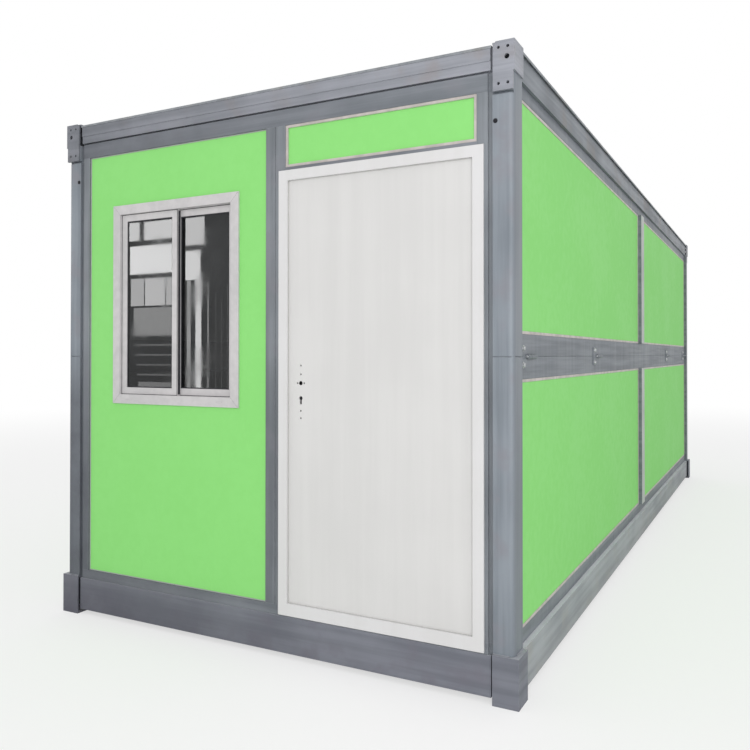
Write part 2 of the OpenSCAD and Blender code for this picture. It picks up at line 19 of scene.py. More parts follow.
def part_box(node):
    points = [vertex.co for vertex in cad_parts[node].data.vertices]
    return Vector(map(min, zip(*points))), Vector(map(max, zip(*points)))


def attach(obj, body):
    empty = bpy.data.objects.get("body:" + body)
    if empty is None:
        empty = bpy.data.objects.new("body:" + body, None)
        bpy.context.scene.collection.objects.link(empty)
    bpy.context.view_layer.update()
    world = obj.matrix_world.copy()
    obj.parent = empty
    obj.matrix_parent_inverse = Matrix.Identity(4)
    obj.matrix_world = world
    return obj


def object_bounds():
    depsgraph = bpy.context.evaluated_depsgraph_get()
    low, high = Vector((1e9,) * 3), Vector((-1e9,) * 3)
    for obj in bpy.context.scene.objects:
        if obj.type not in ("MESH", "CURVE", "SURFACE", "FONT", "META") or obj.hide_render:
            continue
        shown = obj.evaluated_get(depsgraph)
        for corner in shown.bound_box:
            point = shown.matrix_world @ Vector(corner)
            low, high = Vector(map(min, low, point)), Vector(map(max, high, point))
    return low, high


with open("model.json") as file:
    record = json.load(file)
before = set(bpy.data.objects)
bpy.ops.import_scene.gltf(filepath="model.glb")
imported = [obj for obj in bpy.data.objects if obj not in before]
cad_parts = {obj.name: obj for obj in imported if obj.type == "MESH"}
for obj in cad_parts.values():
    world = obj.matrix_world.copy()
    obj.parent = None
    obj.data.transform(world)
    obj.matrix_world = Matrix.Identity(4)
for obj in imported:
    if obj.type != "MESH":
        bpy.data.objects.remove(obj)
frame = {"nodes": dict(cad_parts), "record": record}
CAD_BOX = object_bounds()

log = logging.getLogger("container_house")

HOUSE = "house"
DOOR = "door"
MM = 0.001

# The side walls and the end walls, by the sign of their place.
SIDES = ((-1, "left"), (1, "right"))
ENDS = (-1, 1)

# Decimals of a place in metres that is rounded to a tenth of a millimetre, or to a whole one.
TENTH_MM, WHOLE_MM = 4, 3
# Places closer than this count as one.
TOUCHING = 0.01 * MM
# A moulding's edges that turn more than this are its rims.
SHARP = math.radians(60)
# Edges that turn less than this are shaded smooth.
SMOOTH_BELOW = math.radians(40)
BEVEL_STEPS = 2

# Sockets of the Mix node that mix two colours. It has other sets under the same names.
SHARE, UNDER, OVER, MIXED = 0, 6, 7, 2
COLOURS = {"data_type": "RGBA"}
SMOOTHLY = {"interpolation_type": "SMOOTHSTEP"}
WHITE = "#ffffff"

Point = Sequence[float]
Span = tuple[float, float]
Inputs = Mapping[str | int, Any]


# ---- reading the frame ----


def levels(node: str, axis: int, decimals: int = TENTH_MM) -> list[float]:
    """Finds the distinct places of a CAD node's vertices along one axis.

    Args:
        node: Name of the CAD node.
        axis: 0, 1 or 2 for X, Y or Z.
        decimals: How finely the places are rounded.

    Returns:
        The places in metres, in rising order.
    """
    return sorted({round(vertex.co[axis], decimals) for vertex in frame["nodes"][node].data.vertices})


def span(node: str, axis: int) -> Span:
    """Gives a CAD node's extent along one axis, in metres."""
    low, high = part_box(node)
    return low[axis], high[axis]


# ---- shapes ----


class Plane(Enum):
    """A face of the house to build on, as the directions of its across, up and outward axes."""

    FRONT = ((1, 0, 0), (0, 0, 1), (0, -1, 0))
    REAR = ((1, 0, 0), (0, 0, 1), (0, 1, 0))
    RIGHT = ((0, 1, 0), (0, 0, 1), (1, 0, 0))
    LEFT = ((0, 1, 0), (0, 0, 1), (-1, 0, 0))
    TOP = ((1, 0, 0), (0, 1, 0), (0, 0, 1))

    @classmethod
    def end(cls, side: int) -> "Plane":
        """Picks the front wall for -1 and the rear wall for 1."""
        return cls.FRONT if side < 0 else cls.REAR

    @classmethod
    def wall(cls, side: int) -> "Plane":
        """Picks the left wall for -1 and the right wall for 1."""
        return cls.LEFT if side < 0 else cls.RIGHT

    def matrix(self) -> Matrix:
        """Turns across, up and outward coordinates into the frame's."""
        return Matrix([Vector(axis) for axis in self.value]).transposed().to_4x4()


class Sides(IntEnum):
    """Numbers of sides of round and many-sided parts."""

    HEXAGON = 6
    OCTAGON = 8
    SCREW = 16
    WASHER = 20
    HOLE = 24
    BARREL = 32


class Shape:
    """One closed shell, built with bmesh operators in a plane's across, up and outward coordinates."""

    def __init__(self) -> None:
        """Starts an empty shell."""
        self.mesh = bmesh.new()

    def soften(self, edges: Sequence[bmesh.types.BMEdge], radius: float) -> None:
        """Rounds some edges.

        Args:
            edges: The edges.
            radius: The radius they get.
        """
        bmesh.ops.bevel(
            self.mesh, geom=list(edges), offset=radius, offset_type="OFFSET", affect="EDGES",
            segments=BEVEL_STEPS, profile=0.5, material=-1, clamp_overlap=True,
        )

    def outer_edges(self) -> list[bmesh.types.BMEdge]:
        """Finds the edges of the outward face."""
        top = max(vertex.co.z for vertex in self.mesh.verts)
        return [edge for edge in self.mesh.edges if all(top - v.co.z < TOUCHING for v in edge.verts)]

    def move(self, matrix: Matrix) -> None:
        """Moves or turns the shell."""
        bmesh.ops.transform(self.mesh, verts=self.mesh.verts, matrix=matrix)

    def lay(self, start: Point, end: Point) -> None:
        """Lays a shell that stands about the origin between two points.

        Args:
            start: Where the middle of its back goes.
            end: Where the middle of its outward face goes.
        """
        turn = (Vector(end) - Vector(start)).to_track_quat("Z", "Y").to_matrix().to_4x4()
        self.move(Matrix.Translation((Vector(start) + Vector(end)) / 2) @ turn)


def bar(low: Point, high: Point, radius: float = 0.0) -> Shape:
    """Makes a rectangular bar with rounded edges.

    Args:
        low: Lowest corner.
        high: Highest corner.
        radius: Radius of its edges, or 0 to leave them sharp.

    Returns:
        The bar.
    """
    shape = Shape()
    size = Vector(high) - Vector(low)
    place = Matrix.Translation((Vector(high) + Vector(low)) / 2) @ Matrix.Diagonal((*size, 1))
    bmesh.ops.create_cube(shape.mesh, size=1, matrix=place)
    if radius:
        shape.soften(shape.mesh.edges, radius)
    return shape


def ring(low: Point, high: Point, border: float, base: float, height: float, radius: float) -> Shape:
    """Makes a mitred rectangular moulding that stands on a plane.

    Args:
        low: Lower outer corner, across and up.
        high: Upper outer corner, across and up.
        border: Width of the moulding.
        base: Place of its back, outwards.
        height: How far it stands out.
        radius: Radius of its outer edges, or 0.

    Returns:
        The moulding.
    """
    shape = Shape()
    centre = Vector(((low[0] + high[0]) / 2, (low[1] + high[1]) / 2, base))
    scale = Matrix.Diagonal((high[0] - low[0], high[1] - low[1], 1, 1))
    made = bmesh.ops.create_grid(
        shape.mesh, x_segments=1, y_segments=1, size=0.5, matrix=Matrix.Translation(centre) @ scale
    )
    face = made["verts"][0].link_faces[0]
    inset = bmesh.ops.inset_region(
        shape.mesh, faces=[face], thickness=border, use_boundary=True, use_even_offset=True
    )
    bmesh.ops.delete(shape.mesh, geom=[face], context="FACES")
    raised = bmesh.ops.extrude_face_region(shape.mesh, geom=inset["faces"])
    corners = [item for item in raised["geom"] if isinstance(item, bmesh.types.BMVert)]
    bmesh.ops.translate(shape.mesh, verts=corners, vec=(0, 0, height))
    if radius:
        shape.soften([edge for edge in shape.outer_edges() if edge.calc_face_angle(0.0) > SHARP], radius)
    return shape


def cylinder(radius: float, length: float, sides: int) -> Shape:
    """Makes a round or many-sided bar that stands about the origin.

    Args:
        radius: Radius over its corners.
        length: Length along the outward axis.
        sides: Number of sides.

    Returns:
        The bar.
    """
    shape = Shape()
    bmesh.ops.create_cone(
        shape.mesh, cap_ends=True, cap_tris=False, segments=sides, radius1=radius, radius2=radius,
        depth=length,
    )
    return shape


def disc(centre: Point, radius: float, height: float, sides: int, edge: float = 0.0) -> Shape:
    """Makes a round or many-sided plate that stands on a plane.

    Args:
        centre: Middle of its back.
        radius: Radius over its corners.
        height: How far it stands out.
        sides: Number of sides.
        edge: Radius of its outward edge, or 0.

    Returns:
        The plate.
    """
    shape = cylinder(radius, height, sides)
    if edge:
        shape.soften(shape.outer_edges(), edge)
    shape.move(Matrix.Translation(Vector(centre) + Vector((0, 0, height / 2))))
    return shape


def rod(start: Point, end: Point, radius: float, sides: int, edge: float = 0.0) -> Shape:
    """Makes a round rod between two points.

    Args:
        start: Middle of one end.
        end: Middle of the other end.
        radius: Radius of the rod.
        sides: Number of sides.
        edge: Radius of its end edges, or 0.

    Returns:
        The rod.
    """
    shape = cylinder(radius, (Vector(end) - Vector(start)).length, sides)
    if edge:
        ends = [e for e in shape.mesh.edges if abs(e.verts[0].co.z - e.verts[1].co.z) < TOUCHING]
        shape.soften(ends, edge)
    shape.lay(start, end)
    return shape


def sleeve(base: Point, outer: float, inner: float, height: float, sides: int) -> Shape:
    """Makes a round sleeve that stands on a plane.

    Args:
        base: Middle of its back.
        outer: Outer radius.
        inner: Inner radius.
        height: How far it stands out.
        sides: Number of sides.

    Returns:
        The sleeve.
    """
    shape = Shape()
    corners = ((outer, 0.0), (outer, height), (inner, height), (inner, 0.0))
    section = [shape.mesh.verts.new(Vector(base) + Vector((reach, 0.0, rise))) for reach, rise in corners]
    rims = [shape.mesh.edges.new((section[i - 1], section[i])) for i in range(len(section))]
    bmesh.ops.spin(
        shape.mesh, geom=section + rims, cent=base, axis=(0, 0, 1), dvec=(0, 0, 0),
        angle=2 * math.pi, steps=sides, use_merge=True, use_duplicate=False,
    )
    return shape


def weld(start: Point, end: Point, radius: float) -> Shape:
    """Makes a rippled weld bead between two points.

    Args:
        start: Middle of one end.
        end: Middle of the other end.
        radius: Radius of the bead.

    Returns:
        The bead.
    """
    pitch = 2.5 * radius
    dip = 0.18
    fewest = 3
    length = (Vector(end) - Vector(start)).length
    shape = cylinder(radius, length, Sides.HEXAGON)
    ripples = max(fewest, int(length / pitch))
    long_edges = [e for e in shape.mesh.edges if abs(e.verts[0].co.z - e.verts[1].co.z) > TOUCHING]
    bmesh.ops.subdivide_edges(shape.mesh, edges=long_edges, cuts=2 * ripples - 1)
    for vertex in shape.mesh.verts:
        turn = 2 * math.pi * ripples * (vertex.co.z / length + 0.5)
        swell = 1 - dip * (1 - math.cos(turn))
        vertex.co.x *= swell
        vertex.co.y *= swell
    shape.lay(start, end)
    return shape


@dataclass
class Piece:
    """A new piece: shells gathered into one mesh, then finished as one object."""

    name: str
    finish: Material
    slot: str
    body: str = HOUSE
    mesh: bmesh.types.BMesh = field(default_factory=bmesh.new)

    def add(self, shape: Shape, plane: Plane | None = None) -> None:
        """Adds a shell.

        Args:
            shape: The shell, which is used up.
            plane: The plane whose coordinates it is in, or None for the frame's own.
        """
        if plane:
            shape.move(plane.matrix())
        bmesh.ops.recalc_face_normals(shape.mesh, faces=shape.mesh.faces)
        carrier = bpy.data.meshes.new("carrier")
        shape.mesh.to_mesh(carrier)
        self.mesh.from_mesh(carrier)
        bpy.data.meshes.remove(carrier)
        shape.mesh.free()

    def done(self) -> None:
        """Makes the object, rides it on its body and reports it."""
        mesh = bpy.data.meshes.new(self.name)
        for edge in self.mesh.edges:
            edge.smooth = len(edge.link_faces) == 2 and edge.calc_face_angle() < SMOOTH_BELOW
        for face in self.mesh.faces:
            face.smooth = True
        self.mesh.to_mesh(mesh)
        self.mesh.free()
        mesh.materials.append(self.finish)
        piece = bpy.data.objects.new(self.name, mesh)
        bpy.context.scene.collection.objects.link(piece)
        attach(piece, self.body)
        log.info("%s: %d faces", self.name, len(mesh.polygons))


# ---- materials ----


def linear(colour: str) -> tuple[float, float, float, float]:
    """Turns an sRGB colour into a linear one.

    Args:
        colour: The colour in hex, such as "#8a9199".

    Returns:
        Its red, green, blue and alpha.
    """
    shares = [int(colour[i:i + 2], 16) / 255 for i in (1, 3, 5)]
    red, green, blue = (c / 12.92 if c <= 0.04045 else ((c + 0.055) / 1.055) ** 2.4 for c in shares)
    return red, green, blue, 1.0


def add_node(tree: NodeTree, kind: str, inputs: Inputs | None = None, **settings: Any) -> Node:
    """Adds a node with its settings, socket values and links.

    Args:
        tree: The node tree.
        kind: Blender's name for the kind of node, without its ShaderNode prefix.
        inputs: A value, an sRGB hex colour or an output socket for each input, by name or number.
        settings: Attributes of the node.

    Returns:
        The node.
    """
    node = tree.nodes.new("ShaderNode" + kind)
    for key, value in settings.items():
        setattr(node, key, value)
    for key, value in (inputs or {}).items():
        if isinstance(value, NodeSocket):
            tree.links.new(value, node.inputs[key])
        else:
            node.inputs[key].default_value = linear(value) if isinstance(value, str) else value
    return node


@dataclass
class Recipe:
    """A material in the making, with its object coordinates whole and one axis at a time."""

    name: str
    material: Material = field(init=False)
    place: NodeSocket = field(init=False)
    axes: Mapping[str, NodeSocket] = field(init=False)

    def __post_init__(self) -> None:
        """Makes a material that holds only its coordinates."""
        self.material = bpy.data.materials.new(self.name)
        self.material.use_nodes = True
        self.material.node_tree.nodes.clear()
        self.place = self.add("TexCoord", output="Object")
        self.axes = add_node(self.material.node_tree, "SeparateXYZ", {"Vector": self.place}).outputs

    def add(
        self, kind: str, inputs: Inputs | None = None, output: str | int = 0, **settings: Any
    ) -> NodeSocket:
        """Adds a node to the material.

        Args:
            kind: Kind of node, as add_node names it.
            inputs: Its socket values and links.
            output: Name or number of the output that is wanted.
            settings: Attributes of the node.

        Returns:
            That output.
        """
        return add_node(self.material.node_tree, kind, inputs, **settings).outputs[output]

    def finish(self, surface: NodeSocket) -> Material:
        """Ends the material in a surface."""
        add_node(self.material.node_tree, "OutputMaterial", {"Surface": surface})
        return self.material


class Grain(Enum):
    """The way that the streaks of rolled stock or the veins of boards run, as a stretch along each axis."""

    UPRIGHT = (1.0, 1.0, 0.035)
    LEVEL = (0.035, 0.035, 1.0)
    BOARD = (1.0, 0.04, 1.0)
    NONE = (1.0, 1.0, 1.0)


@dataclass(frozen=True)
class Mottle:
    """Uneven patches of a real size in metres, with finer layers of some strength."""

    size: float
    layers: float = 3.0
    strength: float = 0.5
    grain: Grain = Grain.NONE

    def draw(self, recipe: Recipe) -> NodeSocket:
        """Draws the patches.

        Args:
            recipe: The material in the making.

        Returns:
            Their value, from 0 to 1.
        """
        scale = Vector(self.grain.value) / self.size
        moved = recipe.add("Mapping", {"Vector": recipe.place, "Scale": scale})
        settings = {"Vector": moved, "Scale": 1.0, "Detail": self.layers, "Roughness": self.strength}
        return recipe.add("TexNoise", settings)


@dataclass(frozen=True)
class Fade:
    """A smooth step: as a value goes from `start` to `end`, it becomes `low` to `high`."""

    start: float
    end: float
    low: float = 0.0
    high: float = 1.0

    def of(self, value: NodeSocket) -> Inputs:
        """Gives the sockets of the Map Range node that fades a value."""
        ends = {"From Min": self.start, "From Max": self.end, "To Min": self.low, "To Max": self.high}
        return {"Value": value, **ends}


@dataclass(frozen=True)
class WearAndPaintedLight:
    """Weathering of a coat, with painted light: darkening low down and on one side, dust on ledges, and
    worn edges.

    The darkening is painted shade on most coats and dirt on a few. It covers `share` below the level `low`
    and `rest` above `high`. Towards the right it falls to the right side's share times that. Dust lies on
    faces that look upwards, from the first to the second share of
    `ledge`. An edge is paler where its rounded normal turns away from the face as far as the cosine
    `turn` says: worn paint that also paints an edge highlight.
    """

    # Colour of the darkening low down and on the left: painted shade on most coats, dirt on a few.
    grime_and_shade: str = "#55585f"
    low: float = 0.0
    high: float = 1.0
    share: float = 0.0
    rest: float = 0.0
    shade_share_at_right: float = 1.0
    dust: str = "#dcdfe3"
    dust_share: float = 0.0
    # Colour of the paler worn edges, which also paints an edge highlight.
    edge: str = "#b4b9bf"
    worn_edge_and_highlight_share: float = 0.3
    patches: Mottle = Mottle(160 * MM, 5.0, 0.6)
    thinning: Fade = Fade(0.3, 0.7, 0.75, 1.0)
    ledge: tuple[float, float] = (0.6, 0.95)
    scuffs: Mottle = Mottle(30 * MM, 4.0)
    scuffing: Fade = Fade(0.35, 0.6, 0.3, 1.0)
    turn: float = 0.93

    def cover(self, recipe: Recipe, colour: NodeSocket, rounded: NodeSocket) -> NodeSocket:
        """Weathers a clean coat, and paints shade and edge highlights on it.

        Args:
            recipe: The material in the making.
            colour: The clean coat's colour.
            rounded: The normal with rounded edges.

        Returns:
            The weathered colour.
        """
        flat = recipe.add("NewGeometry", output="True Normal")
        patches = recipe.add("MapRange", self.thinning.of(self.patches.draw(recipe)), **SMOOTHLY)
        if self.share:
            colour = self.soil_and_shade(recipe, colour, patches)
        if self.dust_share:
            upward = recipe.add("SeparateXYZ", {"Vector": flat}, "Z")
            dusty = recipe.add("MapRange", Fade(*self.ledge, high=self.dust_share).of(upward), **SMOOTHLY)
            share = recipe.add("Math", {0: dusty, 1: patches}, operation="MULTIPLY")
            colour = recipe.add("Mix", {SHARE: share, UNDER: colour, OVER: self.dust}, MIXED, **COLOURS)
        turned = recipe.add("VectorMath", {0: rounded, 1: flat}, "Value", operation="DOT_PRODUCT")
        bent = recipe.add("MapRange", Fade(1.0, self.turn, high=self.worn_edge_and_highlight_share).of(turned), **SMOOTHLY)
        scuffs = recipe.add("MapRange", self.scuffing.of(self.scuffs.draw(recipe)), **SMOOTHLY)
        # Paler worn edges, which also paint an edge highlight.
        worn_and_highlit = recipe.add("Math", {0: bent, 1: scuffs}, operation="MULTIPLY")
        return recipe.add("Mix", {SHARE: worn_and_highlit, UNDER: colour, OVER: self.edge}, MIXED, **COLOURS)

    def soil_and_shade(self, recipe: Recipe, colour: NodeSocket, patches: NodeSocket) -> NodeSocket:
        """Darkens the coat low down and towards the left: painted shade on most coats, dirt on a few.

        Args:
            recipe: The material in the making.
            colour: The clean coat's colour.
            patches: Where the darkening is thinner.

        Returns:
            The darkened colour.
        """
        half = span("roof_sheet", 0)[1]
        height = Fade(self.low, self.high, self.share, self.rest)
        side = Fade(-half, half, 1.0, self.shade_share_at_right)
        # Painted shade on most coats, dirt on a few: darker below a level and towards the left.
        upright = recipe.add("MapRange", height.of(recipe.axes["Z"]), **SMOOTHLY)
        level = recipe.add("MapRange", side.of(recipe.axes["X"]), **SMOOTHLY)
        both = recipe.add("Math", {0: upright, 1: level}, operation="MULTIPLY")
        share = recipe.add("Math", {0: both, 1: patches}, operation="MULTIPLY")
        return recipe.add("Mix", {SHARE: share, UNDER: colour, OVER: self.grime_and_shade}, MIXED, **COLOURS)


@dataclass(frozen=True)
class Coating:
    """A sprayed, baked or extruded coat: near tones, streaks along the stock, weathering with painted shade
    and edge highlights, and orange peel.

    The roughness varies by `sheen` either way. Real orange peel is 1 to 2 mm across, and it is drawn
    coarser so that it shows.
    """

    name: str
    light: str
    dark: str
    warm: str = ""
    roughness: float = 0.5
    sheen: float = 0.06
    specular: float = 0.35
    index: float = 1.5
    grain: Grain = Grain.NONE
    streak: float = 45 * MM
    streak_layers: float = 4.0
    streak_strength: float = 0.6
    streak_share: float = 0.55
    blotch: float = 420 * MM
    contrast: Fade = Fade(0.36, 0.64)
    warm_patches: Mottle = Mottle(140 * MM, 4.0)
    warming: Fade = Fade(0.5, 0.7, 0.0, 0.6)
    peel: float = 5 * MM
    peel_layers: float = 2.0
    peel_depth: float = 0.05 * MM
    rounding: float = 2.5 * MM
    rounding_samples: int = 4
    # Weathering, with painted shade low down and on the left, and painted edge highlights.
    wear_and_painted_light: WearAndPaintedLight = WearAndPaintedLight()

    def streaks(self, recipe: Recipe, grain: Grain) -> NodeSocket:
        """Draws streaks that run one way."""
        return Mottle(self.streak, self.streak_layers, self.streak_strength, grain).draw(recipe)

    def tone(self, recipe: Recipe) -> NodeSocket:
        """Makes the pattern of light and dark tones.

        Args:
            recipe: The material in the making.

        Returns:
            Its value, from 0 to 1.
        """
        blotches = Mottle(self.blotch).draw(recipe)
        streaks = self.streaks(recipe, self.grain)
        mixed = recipe.add("Mix", {"Factor": self.streak_share, "A": blotches, "B": streaks})
        return recipe.add("MapRange", self.contrast.of(mixed), **SMOOTHLY)

    def painted(self, recipe: Recipe, tone: NodeSocket) -> NodeSocket:
        """Gives the clean coat's colour.

        Args:
            recipe: The material in the making.
            tone: The pattern of light and dark tones.

        Returns:
            The colour.
        """
        colour = recipe.add("Mix", {SHARE: tone, UNDER: self.dark, OVER: self.light}, MIXED, **COLOURS)
        if self.warm:
            patches = self.warming.of(self.warm_patches.draw(recipe))
            share = recipe.add("MapRange", patches, **SMOOTHLY)
            colour = recipe.add("Mix", {SHARE: share, UNDER: colour, OVER: self.warm}, MIXED, **COLOURS)
        return colour

    def pressed(self, recipe: Recipe, normal: NodeSocket) -> NodeSocket:
        """Adds lines pressed into the sheet, if the stock has them."""
        return normal

    def material(self) -> Material:
        """Builds the material."""
        recipe = Recipe(self.name)
        tone = self.tone(recipe)
        rounded = recipe.add("Bevel", {"Radius": self.rounding}, samples=self.rounding_samples)
        colour = self.wear_and_painted_light.cover(recipe, self.painted(recipe, tone), rounded)
        peel = Mottle(self.peel, self.peel_layers).draw(recipe)
        bumped = recipe.add("Bump", {"Height": peel, "Distance": self.peel_depth, "Normal": rounded})
        shine = Fade(0.0, 1.0, self.roughness + self.sheen, self.roughness - self.sheen)
        return recipe.finish(recipe.add("BsdfPrincipled", {
            "Base Color": colour,
            "Roughness": recipe.add("MapRange", shine.of(tone), **SMOOTHLY),
            "Normal": self.pressed(recipe, bumped),
            "IOR": self.index,
            "Specular IOR Level": self.specular,
        }))


@dataclass(frozen=True)
class WallSheet(Coating):
    """Coil-coated steel sheet of a sandwich panel: shallow pressed lines, and a pale sheet inside."""

    line_pitch: float = 90 * MM
    line_depth: float = 0.2 * MM
    line_share: float = 0.04
    inside: str = ""
    inside_light: str = "#e2e2de"
    skin: float = 10 * MM

    def painted(self, recipe: Recipe, tone: NodeSocket) -> NodeSocket:
        """Colours the outer sheets and, where there is one, the inner sheet.

        Args:
            recipe: The material in the making.
            tone: The pattern of light and dark tones.

        Returns:
            The colour.
        """
        outer = super().painted(recipe, tone)
        if not self.inside:
            return outer
        faces = {"X": span("right_panels", 0)[1], "Y": span("rear_panels", 1)[1]}
        beyond: dict[str | int, NodeSocket] = {}
        for index, (axis, face) in enumerate(faces.items()):
            away = recipe.add("Math", {0: recipe.axes[axis]}, operation="ABSOLUTE")
            beyond[index] = recipe.add("Math", {0: away, 1: face - self.skin}, operation="GREATER_THAN")
        outside = recipe.add("Math", beyond, operation="MAXIMUM")
        inner = {SHARE: tone, UNDER: self.inside, OVER: self.inside_light}
        lining = recipe.add("Mix", inner, MIXED, **COLOURS)
        return recipe.add("Mix", {SHARE: outside, UNDER: lining, OVER: outer}, MIXED, **COLOURS)

    def pressed(self, recipe: Recipe, normal: NodeSocket) -> NodeSocket:
        """Presses narrow upright lines into the sheet.

        Args:
            recipe: The material in the making.
            normal: The sheet's normal.

        Returns:
            The normal with the lines.
        """
        along = recipe.add("Math", {0: recipe.axes["X"], 1: recipe.axes["Y"]}, operation="ADD")
        count = recipe.add("Math", {0: along, 1: 1 / self.line_pitch}, operation="MULTIPLY")
        part = recipe.add("Math", {0: count}, operation="FRACT")
        middle = recipe.add("Math", {0: part, 1: 0.5}, operation="SUBTRACT")
        away = recipe.add("Math", {0: middle}, operation="ABSOLUTE")
        lines = recipe.add("MapRange", Fade(0.0, self.line_share).of(away), **SMOOTHLY)
        return recipe.add("Bump", {"Height": lines, "Distance": self.line_depth, "Normal": normal})


@dataclass(frozen=True)
class WeldedFrame(Coating):
    """Paint on a welded wall frame, streaked along its posts and rails, with a paler middle post, painted
    shade on the corner posts' sideways flanks, and rails in darker tones that are partly painted shade.
    """

    # Rail tones, darker than the posts' and partly painted shade of the side walls.
    rails: tuple[str, str] = ("#7d8289", "#686d74")
    # Painted shade on the corner posts' sideways flank.
    shaded_flank: str = "#777c83"
    shaded_flank_turn: Fade = Fade(0.5, 0.98, 0.0, 0.75)
    middle: tuple[str, str] = ("#bcbebc", "#a6aca9")
    skin: float = 1 * MM

    def painted(self, recipe: Recipe, tone: NodeSocket) -> NodeSocket:
        """Tells corner posts, rails and middle post by their place along the wall.

        Args:
            recipe: The material in the making.
            tone: The pattern of light and dark tones.

        Returns:
            The colour.
        """
        _, near_middle, _, front = levels("right_panels", 1)
        distance = recipe.add("Math", {0: recipe.axes["Y"]}, operation="ABSOLUTE")
        at_corner = recipe.add("Math", {0: distance, 1: front}, operation="GREATER_THAN")
        rails, posts = self.rail_colour_with_shade(recipe), self.post_colour(recipe, tone)
        frame_colour = recipe.add("Mix", {SHARE: at_corner, UNDER: rails, OVER: posts}, MIXED, **COLOURS)
        inner = {0: distance, 1: abs(near_middle) - self.skin}
        at_middle = recipe.add("Math", inner, operation="LESS_THAN")
        out = recipe.add("Math", {0: recipe.axes["X"]}, operation="ABSOLUTE")
        face = {0: out, 1: span("right_lower_frame", 0)[1] - self.skin}
        on_face = recipe.add("Math", face, operation="GREATER_THAN")
        pale = {SHARE: tone, UNDER: self.middle[1], OVER: self.middle[0]}
        middle = recipe.add("Mix", pale, MIXED, **COLOURS)
        share = recipe.add("Math", {0: at_middle, 1: on_face}, operation="MULTIPLY")
        return recipe.add("Mix", {SHARE: share, UNDER: frame_colour, OVER: middle}, MIXED, **COLOURS)

    def post_colour(self, recipe: Recipe, tone: NodeSocket) -> NodeSocket:
        """Colours the corner posts, with painted shade on the flank that faces sideways.

        Args:
            recipe: The material in the making.
            tone: The pattern of light and dark tones.

        Returns:
            The colour.
        """
        normal = recipe.add("NewGeometry", output="True Normal")
        across = recipe.add("SeparateXYZ", {"Vector": normal}, "X")
        sideways = recipe.add("Math", {0: across}, operation="ABSOLUTE")
        # Painted shade: faces turned sideways get the darker flank colour.
        shaded_flank = recipe.add("MapRange", self.shaded_flank_turn.of(sideways), **SMOOTHLY)
        ends = {SHARE: shaded_flank, UNDER: super().painted(recipe, tone), OVER: self.shaded_flank}
        return recipe.add("Mix", ends, MIXED, **COLOURS)

    def rail_colour_with_shade(self, recipe: Recipe) -> NodeSocket:
        """Colours the rails, streaked along their length, in darker tones that are partly painted shade.

        Args:
            recipe: The material in the making.

        Returns:
            The colour.
        """
        streaks = self.contrast.of(self.streaks(recipe, Grain.LEVEL))
        share = recipe.add("MapRange", streaks, **SMOOTHLY)
        ends = {SHARE: share, UNDER: self.rails[1], OVER: self.rails[0]}
        return recipe.add("Mix", ends, MIXED, **COLOURS)


@dataclass(frozen=True)
class BareMetal:
    """Plated steel: crystals of slightly different shine, and fine scratches.

    Real ones are finer, and they are drawn as coarse as they need to show.
    """

    name: str
    light: str
    dark: str
    roughness: float
    sheen: float = 0.1
    crystal: float = 2 * MM
    cloud: Mottle = Mottle(300 * MM, 4.0)
    cloud_share: float = 0.6
    scratches: Mottle = Mottle(1.5 * MM, 2.0)
    scratch_depth: float = 0.03 * MM
    metallic: float = 0.9

    def material(self) -> Material:
        """Builds the material."""
        recipe = Recipe(self.name)
        cells = recipe.add("TexVoronoi", {"Vector": recipe.place, "Scale": 1 / self.crystal}, "Color")
        grey = recipe.add("SeparateColor", {"Color": cells}, "Red")
        cloud = self.cloud.draw(recipe)
        tone = recipe.add("Mix", {"Factor": self.cloud_share, "A": grey, "B": cloud})
        scratches = self.scratches.draw(recipe)
        shine = Fade(0.0, 1.0, self.roughness + self.sheen, self.roughness - self.sheen)
        ends = {SHARE: tone, UNDER: self.dark, OVER: self.light}
        return recipe.finish(recipe.add("BsdfPrincipled", {
            "Base Color": recipe.add("Mix", ends, MIXED, **COLOURS),
            "Roughness": recipe.add("MapRange", shine.of(tone), **SMOOTHLY),
            "Normal": recipe.add("Bump", {"Height": scratches, "Distance": self.scratch_depth}),
            "Metallic": self.metallic,
        }))


@dataclass(frozen=True)
class Boards:
    """Laminate floor boards: long planks with grain and fine dark joints."""

    name: str = "laminate_boards"
    light: str = "#a98e6d"
    dark: str = "#7d6449"
    joint: str = "#2c241c"
    vein: str = "#5d4733"
    board_width: float = 190 * MM
    board_length: float = 1280 * MM
    stagger: float = 0.37
    joint_width: float = 0.8 * MM
    joint_blur: float = 0.2
    grain: Mottle = Mottle(16 * MM, 6.0, 0.6, Grain.BOARD)
    veining: Fade = Fade(0.35, 0.7, 0.0, 0.45)
    shine: Fade = Fade(0.3, 0.7, 0.38, 0.5)
    grain_depth: float = 0.1 * MM

    def material(self) -> Material:
        """Builds the material, with the boards along the house."""
        recipe = Recipe(self.name)
        quarter_turn = (0.0, 0.0, math.pi / 2)
        turned = recipe.add("Mapping", {"Vector": recipe.place, "Rotation": quarter_turn})
        planks = recipe.add(
            "TexBrick",
            {
                "Vector": turned, "Scale": 1.0,
                "Mortar Size": self.joint_width, "Mortar Smooth": self.joint_blur,
                "Brick Width": self.board_length, "Row Height": self.board_width,
                "Color1": self.light, "Color2": self.dark, "Mortar": self.joint,
            },
            offset=self.stagger,
        )
        grain = self.grain.draw(recipe)
        veins = recipe.add("MapRange", self.veining.of(grain), **SMOOTHLY)
        ends = {SHARE: veins, UNDER: planks, OVER: self.vein}
        return recipe.finish(recipe.add("BsdfPrincipled", {
            "Base Color": recipe.add("Mix", ends, MIXED, **COLOURS),
            "Roughness": recipe.add("MapRange", self.shine.of(grain), **SMOOTHLY),
            "Normal": recipe.add("Bump", {"Height": grain, "Distance": self.grain_depth}),
        }))


